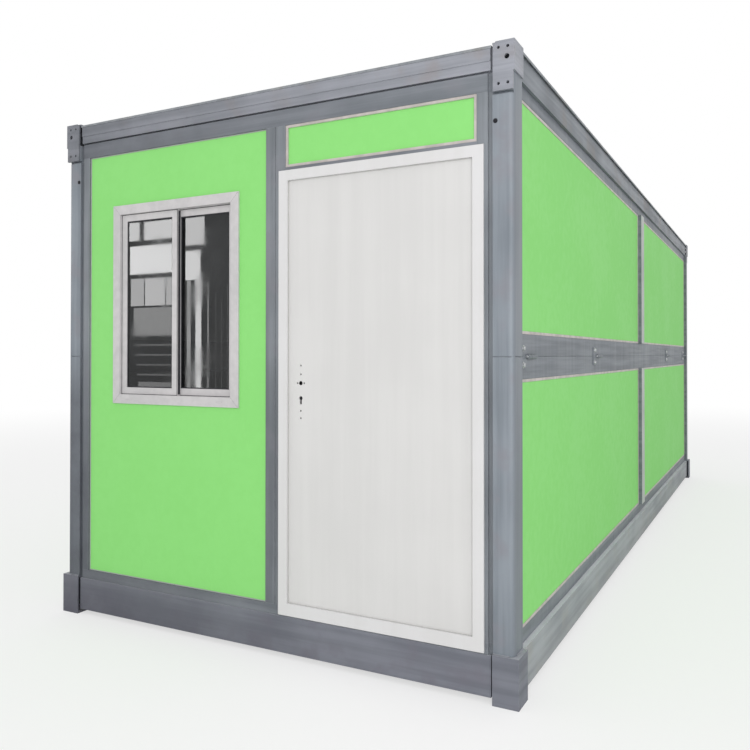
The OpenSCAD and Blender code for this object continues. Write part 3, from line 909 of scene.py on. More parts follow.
@dataclass(frozen=True)
class Rubber:
    """Extruded rubber or silicone: dull, slightly uneven."""

    name: str
    light: str
    dark: str
    roughness: float = 0.7
    sheen: float = 0.08
    cloud: Mottle = Mottle(40 * MM, 4.0)
    cloud_depth: float = 0.2 * MM

    def material(self) -> Material:
        """Builds the material."""
        recipe = Recipe(self.name)
        cloud = self.cloud.draw(recipe)
        shine = Fade(0.3, 0.7, self.roughness + self.sheen, self.roughness - self.sheen)
        ends = {SHARE: cloud, UNDER: self.dark, OVER: self.light}
        return recipe.finish(recipe.add("BsdfPrincipled", {
            "Base Color": recipe.add("Mix", ends, MIXED, **COLOURS),
            "Roughness": recipe.add("MapRange", shine.of(cloud), **SMOOTHLY),
            "Normal": recipe.add("Bump", {"Height": cloud, "Distance": self.cloud_depth}),
        }))


@dataclass(frozen=True)
class SolarGlass:
    """Hard-coated grey float glass: it mirrors more than clear glass does, and has a faint film of dust."""

    name: str = "hard_coated_grey_glass"
    tint: str = "#565c60"
    film: str = "#85898c"
    index: float = 1.9
    cloud: Mottle = Mottle(170 * MM, 6.0)
    filming: Fade = Fade(0.4, 0.8, 0.0, 0.25)
    shine: Fade = Fade(0.35, 0.7, 0.0, 0.05)

    def material(self) -> Material:
        """Builds the material."""
        recipe = Recipe(self.name)
        cloud = self.cloud.draw(recipe)
        film = recipe.add("MapRange", self.filming.of(cloud), **SMOOTHLY)
        ends = {SHARE: film, UNDER: self.tint, OVER: self.film}
        return recipe.finish(recipe.add("BsdfPrincipled", {
            "Base Color": recipe.add("Mix", ends, MIXED, **COLOURS),
            "Roughness": recipe.add("MapRange", self.shine.of(cloud), **SMOOTHLY),
            "Transmission Weight": 1.0,
            "IOR": self.index,
        }))


@dataclass
class Finishes:
    """All the materials, and the CAD nodes that each one covers."""

    # Satin two-pack paint on rolled tube: blue-grey with soft upright streaks, and painted shade low down
    # on the left.
    post_paint: Material = field(default_factory=WeldedFrame(
        "satin_paint_on_welded_tube", light="#8c939b", dark="#757c84", warm="#86848b",
        grain=Grain.UPRIGHT, wear_and_painted_light=WearAndPaintedLight(low=0.95, high=1.45, share=0.95, shade_share_at_right=0.03),
    ).material)
    # The same paint on the roof beams and heads, streaked along the beam, with painted shade towards the
    # left.
    beam_paint: Material = field(default_factory=Coating(
        "satin_paint_on_folded_beam", light="#a0a2ab", dark="#84878e", warm="#928d8f",
        grain=Grain.LEVEL, wear_and_painted_light=WearAndPaintedLight(share=0.62, rest=0.62, shade_share_at_right=0.0),
    ).material)
    # Duller paint on the roof's long beams, in darker tones that are partly painted shade of the long
    # sides.
    side_beam_paint_with_shade: Material = field(default_factory=Coating(
        "dull_paint_with_painted_shade_on_folded_beam", light="#898e95", dark="#71757b", warm="#7f7b7a", specular=0.25,
        grain=Grain.LEVEL,
    ).material)
    # The end walls' frame, in a darker version of that paint, with painted shade low down and towards the
    # left.
    end_paint: Material = field(default_factory=Coating(
        "satin_paint_on_drawn_tube", light="#888d93", dark="#6c7176", warm="#7f7f86",
        grain=Grain.UPRIGHT, wear_and_painted_light=WearAndPaintedLight(low=0.6, high=1.6, share=0.95, rest=0.1, shade_share_at_right=0.1),
    ).material)
    # Level members of the end walls' frame, with painted shade towards the left at every height.
    end_rail_paint: Material = field(default_factory=Coating(
        "satin_paint_on_drawn_rail", light="#888c93", dark="#6c7177", warm="#7f7f86",
        grain=Grain.LEVEL, wear_and_painted_light=WearAndPaintedLight(low=0.3, high=1.2, share=0.8, rest=0.8, shade_share_at_right=0.0),
    ).material)
    # The base beams under the side walls: paler, with dust low down.
    base_paint: Material = field(default_factory=Coating(
        "dusty_paint_on_base_beam", light="#a2a6ab", dark="#898d93", warm="#9a9a98",
        grain=Grain.LEVEL, wear_and_painted_light=WearAndPaintedLight(grime_and_shade="#8b8b8c", high=0.16, share=0.4, dust_share=0.9),
    ).material)
    # The base beams under the end walls and the feet: dark paint that is partly painted shade, with more
    # painted shade low down and towards the left, and dust on ledges.
    grimy_paint: Material = field(default_factory=Coating(
        "dark_paint_with_painted_shade_on_base_beam", light="#83868f", dark="#6b6e77", warm="#72707a", roughness=0.58,
        grain=Grain.LEVEL, wear_and_painted_light=WearAndPaintedLight(grime_and_shade="#55555f", high=0.45, share=0.95, shade_share_at_right=0.15, dust_share=0.4),
    ).material)
    # Dark primer on the joists below the floor.
    joist_paint: Material = field(default_factory=Coating(
        "dark_primer_on_steel", light="#55575c", dark="#45474c", roughness=0.6,
        wear_and_painted_light=WearAndPaintedLight(grime_and_shade="#77736c", high=0.25, share=0.4),
    ).material)
    # Coil-coated sheet on a foam core: matt green outside, off-white inside, with faint pressed lines.
    green_sheet: Material = field(default_factory=WallSheet(
        "coil_coated_green_sheet", light="#8eda7b", dark="#8cd879", roughness=0.65, specular=0.2,
        peel=9 * MM, peel_depth=0.006 * MM, inside="#d4d4cf", line_depth=0.12 * MM,
        wear_and_painted_light=WearAndPaintedLight(worn_edge_and_highlight_share=0.0),
    ).material)
    # Baked powder coat on the door: off-white, nearly smooth, with a faint upright grain.
    door_coat: Material = field(default_factory=Coating(
        "off_white_powder_coat", light="#d9d8d9", dark="#d5d4d4", roughness=0.5, specular=0.25,
        grain=Grain.UPRIGHT, streak=60 * MM, peel=3 * MM, peel_depth=0.02 * MM,
        wear_and_painted_light=WearAndPaintedLight(edge="#e6e6e6"),
    ).material)
    # The leaf's coat is a shade duller than the frame's.
    leaf_coat: Material = field(default_factory=Coating(
        "dull_white_powder_coat", light="#d6d5d4", dark="#d1d0cf", roughness=0.55, specular=0.25,
        grain=Grain.UPRIGHT, streak=60 * MM, peel=3 * MM, peel_depth=0.02 * MM, wear_and_painted_light=WearAndPaintedLight(edge="#dedddc"),
    ).material)
    # Extruded window profile: pinkish off-white plastic with a soft sheen.
    window_plastic: Material = field(default_factory=Coating(
        "extruded_off_white_plastic", light="#cbc8c9", dark="#bfbdbe", roughness=0.4,
        peel=2 * MM, peel_depth=0.01 * MM, rounding=2 * MM, wear_and_painted_light=WearAndPaintedLight(edge="#dcd9da"),
    ).material)
    # Rolled edge trim with a dull pinkish coat.
    edge_trim: Material = field(default_factory=Coating(
        "dull_coat_on_rolled_trim", light="#c4bbb8", dark="#b2aca8", roughness=0.5, blotch=90 * MM,
        rounding=0.6 * MM, wear_and_painted_light=WearAndPaintedLight(edge="#c2bdb8"),
    ).material)
    # Coil-coated ceiling sheet with pressed lines.
    ceiling_sheet: Material = field(default_factory=WallSheet(
        "coil_coated_ceiling_sheet", light="#e4e4e1", dark="#d8d8d5", line_pitch=120 * MM,
        line_depth=0.3 * MM, wear_and_painted_light=WearAndPaintedLight(worn_edge_and_highlight_share=0.0),
    ).material)
    # Grey coil-coated roof sheet, dulled by weather.
    roof_coat: Material = field(default_factory=Coating(
        "weathered_coat_on_roof_sheet", light="#93979c", dark="#7a7e83", warm="#8d8a84", roughness=0.6,
        rounding=1.5 * MM,
    ).material)
    # Bright zinc plating on bolts, pins and butt hinges.
    zinc_plate: Material = field(default_factory=BareMetal(
        "bright_zinc_plating", light="#c9cbcd", dark="#a1a3a5", roughness=0.4,
    ).material)
    # Black oxide on the bolts of the end walls.
    black_bolt: Material = field(default_factory=BareMetal(
        "black_oxide_on_steel", light="#3c3c40", dark="#28282b", roughness=0.5,
    ).material)
    # Laminate boards: warm brown planks with fine dark joints.
    boards: Material = field(default_factory=Boards().material)
    # Hard-coated float glass: dark grey; its bright mirror images are the painted reflection of the stage's
    # glowing cards.
    glass: Material = field(default_factory=SolarGlass().material)
    # Black glazing rubber.
    rubber: Material = field(default_factory=Rubber(
        "black_glazing_rubber", light="#34343a", dark="#232327",
    ).material)
    # Pale grey rubber of the door's seal.
    pale_rubber: Material = field(default_factory=Rubber(
        "pale_grey_door_rubber", light="#c4c4c0", dark="#b4b4b0",
    ).material)
    # Grey silicone in the joints.
    sealant: Material = field(default_factory=Rubber(
        "grey_silicone", light="#b4b5b4", dark="#9a9b9b", roughness=0.5,
    ).material)

    def dress(self, finish: Material, *nodes: str) -> None:
        """Puts a finish on every material slot of some CAD nodes.

        Args:
            finish: The material.
            nodes: Names of the nodes.
        """
        for node in nodes:
            for place in frame["nodes"][node].material_slots:
                place.material = finish

    def dress_frame(self) -> None:
        """Gives every CAD node its finish: by the record's material slots, then by name."""
        by_slot = {
            "frame_paint": self.beam_paint, "dark_steel": self.grimy_paint,
            "green_panel": self.green_sheet, "door_paint": self.door_coat,
            "window_frame": self.window_plastic, "ceiling_sheet": self.ceiling_sheet,
            "floor_board": self.boards, "hinge_steel": self.zinc_plate, "glass": self.glass,
        }
        for subpart in frame["record"]["subparts"]:
            self.dress(by_slot[subpart["material_slot"]], subpart["node"])
        self.dress(self.grimy_paint, "base_beam_front", "base_beam_rear")
        self.dress(self.base_paint, "base_beam_left", "base_beam_right")
        self.dress(self.side_beam_paint_with_shade, "roof_beam_left", "roof_beam_right")
        for _, side in SIDES:
            self.dress(self.post_paint, f"{side}_lower_frame", f"{side}_upper_frame", f"{side}_seam_hinges")
        self.dress(self.end_paint, "front_stiles", "door_post", "rear_frame")
        self.dress(self.end_rail_paint, "front_rails")
        self.dress(self.roof_coat, "roof_sheet", "roof_flashing")
        self.dress(self.joist_paint, "floor_joists")
        self.dress(self.leaf_coat, "door_leaf")


# ---- sub-assemblies ----


def outline(node: str) -> tuple[Span, Span]:
    """Gives the lower and the upper corner of a CAD node on an end wall, across and up."""
    low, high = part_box(node)
    return (low.x, low.z), (high.x, high.z)


def panes() -> list[tuple[Span, Span]]:
    """Finds each pane's extent across and in depth, left pane first."""
    across = levels("window_glass", 0)
    depths = levels("window_glass", 1)
    return [(tuple(across[i:i + 2]), tuple(depths[i:i + 2])) for i in (0, 2)]


@dataclass(frozen=True)
class Bolt:
    """A washer with a six-sided head on it; `radius` is the head's, over its corners."""

    radius: float
    height: float
    washer: float
    washer_reach: float = 1.3
    washer_edge: float = 0.25
    head_edge: float = 0.12

    def fit(self, piece: Piece, plane: Plane, centre: Point) -> None:
        """Adds the bolt to a piece.

        Args:
            piece: The piece that gets it.
            plane: The plane that the bolt stands on.
            centre: Middle of the washer's back, in the plane's coordinates.
        """
        reach, edge = self.washer_reach * self.radius, self.washer_edge * self.washer
        piece.add(disc(centre, reach, self.washer, Sides.WASHER, edge), plane)
        top = Vector(centre) + Vector((0, 0, self.washer))
        edge = self.head_edge * self.height
        piece.add(disc(top, self.radius, self.height, Sides.HEXAGON, edge), plane)


@dataclass
class BaseFrame:
    """Weld beads where the posts stand on the feet."""

    finishes: Finishes
    bead: float = 3 * MM
    bead_rise: float = 1.5 * MM
    bead_reach: float = 0.9 * MM
    end_gap: float = 20 * MM

    def build(self) -> None:
        """Builds the beads."""
        beads = Piece("foot_welds", self.finishes.grimy_paint, "frame_paint")
        low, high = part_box("foot_front_right")
        post_low, post_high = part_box("right_lower_frame")
        inner_y = abs(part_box("base_beam_right")[0].y)
        level = high.z + self.bead_rise
        for side, _ in SIDES:
            for end in ENDS:
                face_x = side * (post_high.x + self.bead_reach)
                face_y = end * (abs(post_low.y) + self.bead_reach)
                near_x, far_x = side * low.x, side * (post_high.x - self.end_gap)
                beads.add(weld((near_x, face_y, level), (far_x, face_y, level), self.bead))
                near_y, far_y = end * inner_y, end * (abs(post_low.y) - self.end_gap)
                beads.add(weld((face_x, near_y, level), (face_x, far_y, level), self.bead))
        beads.done()


@dataclass
class RoofFrame:
    """Screws and sealant along the raised seams of the roof sheet."""

    finishes: Finishes
    screw: float = 4.2 * MM
    screw_height: float = 2.2 * MM
    washer: float = 7.2 * MM
    washer_height: float = 0.5 * MM
    screws_across: int = 9
    screw_inset: float = 60 * MM
    sealant: float = 2 * MM
    sealant_rise: float = 0.6 * MM
    sealant_inset: float = 8 * MM
    rim_margin: float = 50 * MM

    def build(self) -> None:
        """Builds the screws and the sealant."""
        self.build_screws()
        self.build_sealant()

    def seam_edges(self) -> list[float]:
        """Finds both edges of each raised seam along the roof, without the rim's edges."""
        limit = abs(span("base_beam_right", 1)[0]) - self.rim_margin
        return [y for y in levels("roof_flashing", 1) if abs(y) < limit]

    def build_screws(self) -> None:
        """Screws each raised seam down."""
        screws = Piece("roof_screws", self.finishes.zinc_plate, "hinge_steel")
        seam_top = span("roof_flashing", 2)[1]
        half = span("roof_flashing", 0)[1] - self.screw_inset
        edges = self.seam_edges()
        for start, end in zip(edges[::2], edges[1::2]):
            for i in range(self.screws_across):
                x, y = -half + i * 2 * half / (self.screws_across - 1), (start + end) / 2
                foot = (x, y, seam_top)
                screws.add(disc(foot, self.washer, self.washer_height, Sides.SCREW), Plane.TOP)
                top = (x, y, seam_top + self.washer_height)
                screws.add(disc(top, self.screw, self.screw_height, Sides.HEXAGON), Plane.TOP)
        screws.done()

    def build_sealant(self) -> None:
        """Seals both sides of each raised seam."""
        beads = Piece("roof_sealant", self.finishes.sealant, "edge_trim")
        level = span("roof_sheet", 2)[1] + self.sealant_rise
        half = span("roof_flashing", 0)[1] - self.sealant_inset
        for y in self.seam_edges():
            beads.add(rod((-half, y, level), (half, y, level), self.sealant, Sides.OCTAGON))
        beads.done()


@dataclass
class SideWalls:
    """Edge trims round the side panels, and welds of the rails."""

    finishes: Finishes
    trim_width: float = 12 * MM
    trim_rise: float = 3 * MM
    trim_edge: float = 0.8 * MM
    bead: float = 2.5 * MM
    bead_sunk: float = 0.75 * MM
    bead_gap: float = 4 * MM
    rail_proud: float = 4 * MM

    def build(self) -> None:
        """Builds both walls."""
        for side, name in SIDES:
            self.build_trim(side, name)
            self.build_welds(side, name)

    def panel_face(self, name: str) -> float:
        """Gives how far a side wall's panels reach out from the middle of the house."""
        return max(abs(place) for place in span(f"{name}_panels", 0))

    def build_trim(self, side: int, name: str) -> None:
        """Frames the four panels of one side wall.

        Args:
            side: -1 for the left wall, 1 for the right wall.
            name: The wall's name.
        """
        trim = Piece(f"{name}_panel_trim", self.finishes.edge_trim, "edge_trim")
        rear, near_middle, far_middle, front = levels(f"{name}_panels", 1)
        bottom, seam_low, seam_high, top = levels(f"{name}_panels", 2)
        base = self.panel_face(name)
        for across in ((rear, near_middle), (far_middle, front)):
            for up in ((bottom, seam_low), (seam_high, top)):
                low, high = zip(across, up)
                moulding = ring(low, high, self.trim_width, base, self.trim_rise, self.trim_edge)
                trim.add(moulding, Plane.wall(side))
        trim.done()

    def build_welds(self, side: int, name: str) -> None:
        """Runs a bead where each rail meets the corner posts.

        Args:
            side: -1 for the left wall, 1 for the right wall.
            name: The wall's name.
        """
        welds = Piece(f"{name}_rail_welds", self.finishes.post_paint, "frame_paint")
        bottom, seam_low, seam_high, top = levels(f"{name}_panels", 2)
        lower, upper = span(f"{name}_lower_frame", 2), span(f"{name}_upper_frame", 2)
        base_top = span("base_beam_right", 2)[1]
        face = side * (self.panel_face(name) + self.rail_proud)
        rails = ((base_top, bottom), (seam_low, lower[1]), (upper[0], seam_high), (top, upper[1]))
        for end in ENDS:
            y = end * (levels(f"{name}_panels", 1)[-1] - self.bead_sunk)
            for low, high in rails:
                foot, tip = (face, y, low + self.bead_gap), (face, y, high - self.bead_gap)
                welds.add(weld(foot, tip, self.bead))
        welds.done()


@dataclass
class SeamHinges:
    """Bolts on the straps of the fold hinges, the pin of each barrel, and dark rings that paint the shade
    in the gaps between its knuckles.
    """

    finishes: Finishes
    strap_proud: float = 4 * MM
    bolt_along: float = 26 * MM
    bolt_up: float = 33 * MM
    bolt: Bolt = Bolt(9.8 * MM, 5.5 * MM, 2 * MM)
    pin: float = 5.5 * MM
    pin_head: float = 3 * MM
    pin_edge: float = 0.8 * MM
    knuckles: int = 3
    gap: float = 1.2 * MM
    gap_proud: float = 0.15 * MM

    def build(self) -> None:
        """Builds the hardware of the hinges on each side."""
        for side, name in SIDES:
            bolts = Piece(f"{name}_hinge_bolts", self.finishes.zinc_plate, "hinge_steel")
            # Dark rings that paint the shade in the gaps between the knuckles.
            gaps = Piece(f"{name}_knuckle_gap_shade", self.finishes.black_bolt, "hinge_steel")
            rail_face, outer = sorted(abs(place) for place in span(f"{name}_seam_hinges", 0))
            seam = sum(span(f"{name}_seam_hinges", 2)) / 2
            axis_x = side * (rail_face + outer) / 2
            radius = (outer - rail_face) / 2
            places = levels(f"{name}_seam_hinges", 1)
            for strap, start, end in zip(places[::4], places[1::4], places[3::4]):
                for up in (seam - self.bolt_up, seam + self.bolt_up):
                    centre = (strap + self.bolt_along, up, rail_face + self.strap_proud)
                    self.bolt.fit(bolts, Plane.wall(side), centre)
                self.add_pin(bolts, (axis_x, start, seam), (axis_x, end, seam))
                self.add_gaps(gaps, (axis_x, start, seam), (axis_x, end, seam), radius)
            bolts.done()
            gaps.done()

    def add_pin(self, bolts: Piece, start: Point, end: Point) -> None:
        """Adds the heads of a hinge's pin at both ends of its barrel.

        Args:
            bolts: The piece that gets them.
            start: Middle of the barrel's one end.
            end: Middle of its other end.
        """
        for (x, y, z), reach in ((start, -self.pin_head), (end, self.pin_head)):
            bolts.add(rod((x, y, z), (x, y + reach, z), self.pin, Sides.SCREW, self.pin_edge))

    def add_gaps(self, gaps: Piece, start: Point, end: Point, radius: float) -> None:
        """Paints the shade in the gaps between a barrel's knuckles, as dark rings.

        Args:
            gaps: The piece that gets them.
            start: Middle of the barrel's one end.
            end: Middle of its other end.
            radius: The barrel's radius.
        """
        (x, first, z), (_, last, _) = start, end
        for i in range(1, self.knuckles):
            middle = first + (last - first) * i / self.knuckles
            near, far = (x, middle - self.gap / 2, z), (x, middle + self.gap / 2, z)
            gaps.add(rod(near, far, radius + self.gap_proud, Sides.BARREL))


@dataclass
class FrontWall:
    """Trim and sealant of the front wall, and the bolts of both end walls."""

    finishes: Finishes
    trim_width: float = 12 * MM
    trim_rise: float = 7 * MM
    trim_edge: float = 1.5 * MM
    sealant_width: float = 5 * MM
    sealant_rise: float = 2 * MM
    sealant_edge: float = 0.6 * MM
    bolt_inset: float = 12 * MM
    bolt_drop: float = 109 * MM
    bolt: Bolt = Bolt(7 * MM, 3.5 * MM, 1 * MM)

    def build(self) -> None:
        """Builds the wall's small pieces."""
        trim = Piece("transom_trim", self.finishes.edge_trim, "edge_trim")
        face = -span("transom_panel", 1)[0]
        sizes = (self.trim_width, face, self.trim_rise, self.trim_edge)
        trim.add(ring(*outline("transom_panel"), *sizes), Plane.FRONT)
        trim.done()
        seal = Piece("window_wall_sealant", self.finishes.sealant, "edge_trim")
        face = -span("window_panel", 1)[0]
        sizes = (self.sealant_width, face, self.sealant_rise, self.sealant_edge)
        seal.add(ring(*outline("window_panel"), *sizes), Plane.FRONT)
        seal.done()
        self.build_bolts()

    def build_bolts(self) -> None:
        """Adds the bolt that holds each end wall to its corner posts, near the top."""
        bolts = Piece("end_wall_bolts", self.finishes.black_bolt, "hinge_steel")
        face = abs(span("right_lower_frame", 1)[0])
        across = span("front_stiles", 0)[1] + self.bolt_inset
        level = span("head_front_right", 2)[0] - self.bolt_drop
        for end in ENDS:
            for side, _ in SIDES:
                self.bolt.fit(bolts, Plane.end(end), (side * across, level, face))
        bolts.done()


@dataclass
class Window:
    """Gaskets, seals, drain caps and mitre joints of the window."""

    finishes: Finishes
    gasket_width: float = 5 * MM
    gasket_rise: float = 3 * MM
    gasket_edge: float = 1 * MM
    pile: float = 2.5 * MM
    pile_rise: float = 0.8 * MM
    strip: float = 1.5 * MM
    strip_sunk: float = 5 * MM
    strip_gap: float = 6 * MM
    cap_length: float = 34 * MM
    cap_height: float = 6 * MM
    cap_rise: float = 2 * MM
    cap_edge: float = 1.5 * MM
    cap_place: float = 110 * MM
    mitre: float = 0.35 * MM
    mitre_sunk: float = 0.1 * MM
    mitre_gap: float = 2 * MM

    def build(self) -> None:
        """Builds the window's small pieces."""
        self.build_gaskets()
        self.build_seals()
        self.build_caps()
        self.build_mitres()

    def build_gaskets(self) -> None:
        """Runs rubber round both faces of each pane."""
        rubber = Piece("glazing_gaskets", self.finishes.rubber, "window_frame")
        low, high = span("window_glass", 2)
        for (left, right), (front, back) in panes():
            for plane, face in ((Plane.FRONT, -front), (Plane.REAR, back)):
                sizes = (self.gasket_width, face, self.gasket_rise, self.gasket_edge)
                rubber.add(ring((left, low), (right, high), *sizes), plane)
        rubber.done()

    def build_seals(self) -> None:
        """Runs pile round the sashes, and a dark strip down the meeting stile."""
        pile = Piece("sash_pile", self.finishes.rubber, "window_frame")
        for node in ("window_left_sash", "window_right_sash"):
            face = -span(node, 1)[0]
            pile.add(ring(*outline(node), self.pile, face, self.pile_rise, 0.0), Plane.FRONT)
        low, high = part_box("window_left_sash")
        foot = (high.x, low.y + self.strip_sunk, low.z + self.strip_gap)
        tip = (high.x + self.strip, high.y, high.z - self.strip_gap)
        pile.add(bar(foot, tip))
        pile.done()

    def face_width(self) -> float:
        """Gives the width of the frame's face round the sashes."""
        return span("window_left_sash", 2)[0] - span("window_frame", 2)[0]

    def build_caps(self) -> None:
        """Adds the caps of the drain slots on the frame's lower face."""
        caps = Piece("window_drain_caps", self.finishes.window_plastic, "window_frame")
        low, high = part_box("window_frame")
        middle = low.z + self.face_width() / 2
        for x in (low.x + self.cap_place, high.x - self.cap_place):
            foot = (x - self.cap_length / 2, middle - self.cap_height / 2, -low.y)
            tip = (x + self.cap_length / 2, middle + self.cap_height / 2, -low.y + self.cap_rise)
            caps.add(bar(foot, tip, self.cap_edge), Plane.FRONT)
        caps.done()

    def build_mitres(self) -> None:
        """Draws the mitre joints in the frame's four corners."""
        joints = Piece("window_mitres", self.finishes.rubber, "window_frame")
        low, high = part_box("window_frame")
        y, near, far = low.y + self.mitre_sunk, self.mitre_gap, self.face_width()
        for x, way_x in ((low.x, 1), (high.x, -1)):
            for z, way_z in ((low.z, 1), (high.z, -1)):
                start = (x + way_x * near, y, z + way_z * near)
                end = (x + way_x * far, y, z + way_z * far)
                joints.add(rod(start, end, self.mitre, Sides.HEXAGON))
        joints.done()


@dataclass
class Door:
    """Seal, lock and hinge screws of the door."""

    finishes: Finishes
    seal: float = 5 * MM
    seal_gap: float = 0.5 * MM
    spindle_depth: float = 12 * MM
    cylinder_depth: float = 5 * MM
    leaf_skin: float = 1.2 * MM
    case_wall: float = 4 * MM
    bore: float = 8.9 * MM
    follower: float = 8.5 * MM
    square: float = 4 * MM
    slot_lip: float = 0.6 * MM
    key_half: float = 1.2 * MM
    tail_half: float = 4.8 * MM
    tail_drop: float = 25.5 * MM
    screw_bore: float = 3.8 * MM
    plate: float = 0.8 * MM
    plate_half: float = 11 * MM
    plate_below: float = 120 * MM
    plate_above: float = 90 * MM
    latch_half: float = 14 * MM
    dead_bolt_half: float = 18 * MM
    dead_bolt_drop: float = 70 * MM
    slot_half: float = 6 * MM
    slot_rise: float = 0.2 * MM
    screw: float = 4 * MM
    screw_rise: float = 0.5 * MM
    screw_inset: float = 9 * MM
    screw_shares: tuple[float, float] = (0.3, 0.7)
    hinge_plate: float = 3 * MM

    def build(self) -> None:
        """Builds the door's small pieces."""
        self.build_seal()
        self.build_lock()
        self.build_plates()
        self.build_screws()

    def build_seal(self) -> None:
        """Runs a pale seal behind the frame's flat face, where the leaf closes."""
        seal = Piece("door_seal", self.finishes.pale_rubber, "door_paint")
        _, left, right, _ = levels("door_frame", 0)
        _, bottom, top, _ = levels("door_frame", 2)
        base = -span("door_leaf", 1)[0] + self.seal_gap
        height = -span("door_frame", 1)[1] - base
        low, high = (left - self.seal, bottom - self.seal), (right + self.seal, top + self.seal)
        seal.add(ring(low, high, self.seal, base, height, 0.0), Plane.FRONT)
        seal.done()

    def lock_holes(self) -> tuple[Span, Span]:
        """Reads the spindle hole's and the cylinder hole's places from the record, across and up."""
        places = {mount["name"]: mount["pos_m"] for mount in frame["record"]["mounts"]}
        spindle, cylinder = places["spindle_hole"], places["cylinder_hole"]
        return (spindle[0], spindle[2]), (cylinder[0], cylinder[2])

    def screw_holes(self) -> list[Span]:
        """Reads the places of the small screw holes from the record, across and up."""
        found: list[Span] = []
        for mount in frame["record"]["mounts"]:
            if mount["name"].startswith(("handle_", "plate_")):
                x, _, z = mount["pos_m"]
                across = mount["dims"].get("spacing_x_mm", 0.0) / 2 * MM
                up = mount["dims"].get("spacing_y_mm", 0.0) / 2 * MM
                found += [(x - across, z - up), (x + across, z + up)]
        return found

    def build_lock(self) -> None:
        """Shows the lock's case behind its holes, and dark bars that paint the shade in its socket and key
        slot.
        """
        works = Piece("lock_works", self.finishes.black_bolt, "hinge_steel", DOOR)
        # Dark bars that paint the shade in the lock's socket and key slot.
        sockets = Piece("lock_socket_shade", self.finishes.rubber, "hinge_steel", DOOR)
        spindle, cylinder = self.lock_holes()
        face, wall = -span("door_leaf", 1)[0], self.case_wall
        self.add_spindle(works, sockets, (*spindle, face - self.spindle_depth))
        self.add_cylinder(works, sockets, (*cylinder, face - self.cylinder_depth))
        for across, up in self.screw_holes():
            back = (across, up, face - self.cylinder_depth - wall)
            works.add(disc(back, self.screw_bore, wall, Sides.SCREW), Plane.FRONT)
        works.done()
        sockets.done()

    def add_spindle(self, works: Piece, sockets: Piece, centre: Point) -> None:
        """Adds the follower behind the spindle hole, the hole's sleeve, and a dark bar that paints the
        shade in the square socket.

        Args:
            works: The piece that gets the follower and the sleeve.
            sockets: The piece that gets the socket's painted shade.
            centre: Middle of the follower's face, on the front plane.
        """
        (x, z, deep), wall, half = centre, self.case_wall, self.square
        works.add(disc((x, z, deep - wall), self.follower, wall, Sides.HOLE), Plane.FRONT)
        height = self.spindle_depth - self.leaf_skin
        works.add(sleeve(centre, self.bore, self.follower, height, Sides.BARREL), Plane.FRONT)
        tip = (x + half, z + half, deep + self.slot_lip)
        sockets.add(bar((x - half, z - half, deep), tip), Plane.FRONT)

    def add_cylinder(self, works: Piece, sockets: Piece, centre: Point) -> None:
        """Adds the key cylinder's face with its tail, and a dark bar that paints the shade in the key's
        slot.

        Args:
            works: The piece that gets the face and the tail.
            sockets: The piece that gets the slot's painted shade.
            centre: Middle of the face, on the front plane.
        """
        (x, z, near), wall, half = centre, self.case_wall, self.square
        works.add(disc((x, z, near - wall), self.follower, wall, Sides.HOLE), Plane.FRONT)
        foot = (x - self.tail_half, z - self.tail_drop, near - wall)
        works.add(bar(foot, (x + self.tail_half, z - self.follower, near)), Plane.FRONT)
        foot = (x - self.key_half, z - half, near)
        sockets.add(bar(foot, (x + self.key_half, z + half, near + self.slot_lip)), Plane.FRONT)

    def build_plates(self) -> None:
        """Adds the lock's face plate on the leaf's edge, and the strike plate on the lining, with dark bars
        that paint the shade in its slots.
        """
        (_, level), _ = self.lock_holes()
        leaf_edge, lining = span("door_leaf", 0)[0], levels("door_lining", 0)[1]
        middle = sum(span("door_leaf", 1)) / 2
        front, back = middle - self.plate_half, middle + self.plate_half
        bottom, top = level - self.plate_below, level + self.plate_above
        face = Piece("lock_face_plate", self.finishes.zinc_plate, "hinge_steel", DOOR)
        face.add(bar((leaf_edge - self.plate, front, bottom), (leaf_edge, back, top)))
        face.done()
        outer = lining + self.plate
        strike = Piece("strike_plate", self.finishes.zinc_plate, "hinge_steel")
        strike.add(bar((lining, front, bottom), (outer, back, top)))
        strike.done()
        # Dark bars that paint the shade in the strike plate's slots.
        slots = Piece("strike_slot_shade", self.finishes.black_bolt, "hinge_steel")
        dead_bolt = level - self.dead_bolt_drop
        for z, half in ((level, self.latch_half), (dead_bolt, self.dead_bolt_half)):
            foot = (outer, middle - self.slot_half, z - half)
            slots.add(bar(foot, (outer + self.slot_rise, middle + self.slot_half, z + half)))
        slots.done()

    def build_screws(self) -> None:
        """Adds two countersunk screws to each hinge plate on the leaf's back."""
        screws = Piece("leaf_hinge_screws", self.finishes.zinc_plate, "hinge_steel", DOOR)
        x = span("door_hinge_knuckles", 0)[0] + self.screw_inset
        face = span("door_leaf", 1)[1] + self.hinge_plate
        ends = levels("door_hinge_knuckles", 2, WHOLE_MM)
        for bottom, top in zip(ends[::2], ends[1::2]):
            for share in self.screw_shares:
                centre = (x, bottom + share * (top - bottom), face)
                screws.add(disc(centre, self.screw, self.screw_rise, Sides.SCREW), Plane.REAR)
        screws.done()


@dataclass
class RearWall:
    """Sealant round the rear wall's panels."""

    finishes: Finishes
    sealant_width: float = 5 * MM
    sealant_rise: float = 2 * MM
    sealant_edge: float = 0.6 * MM

    def build(self) -> None:
        """Builds the sealant."""
        seal = Piece("rear_wall_sealant", self.finishes.sealant, "edge_trim")
        left, mid_left, mid_right, right = levels("rear_panels", 0)
        bottom, top = span("rear_panels", 2)
        face = span("rear_panels", 1)[1]
        sizes = (self.sealant_width, face, self.sealant_rise, self.sealant_edge)
        for start, end in ((left, mid_left), (mid_right, right)):
            seal.add(ring((start, bottom), (end, top), *sizes), Plane.REAR)
        seal.done()


# ---- stage ----


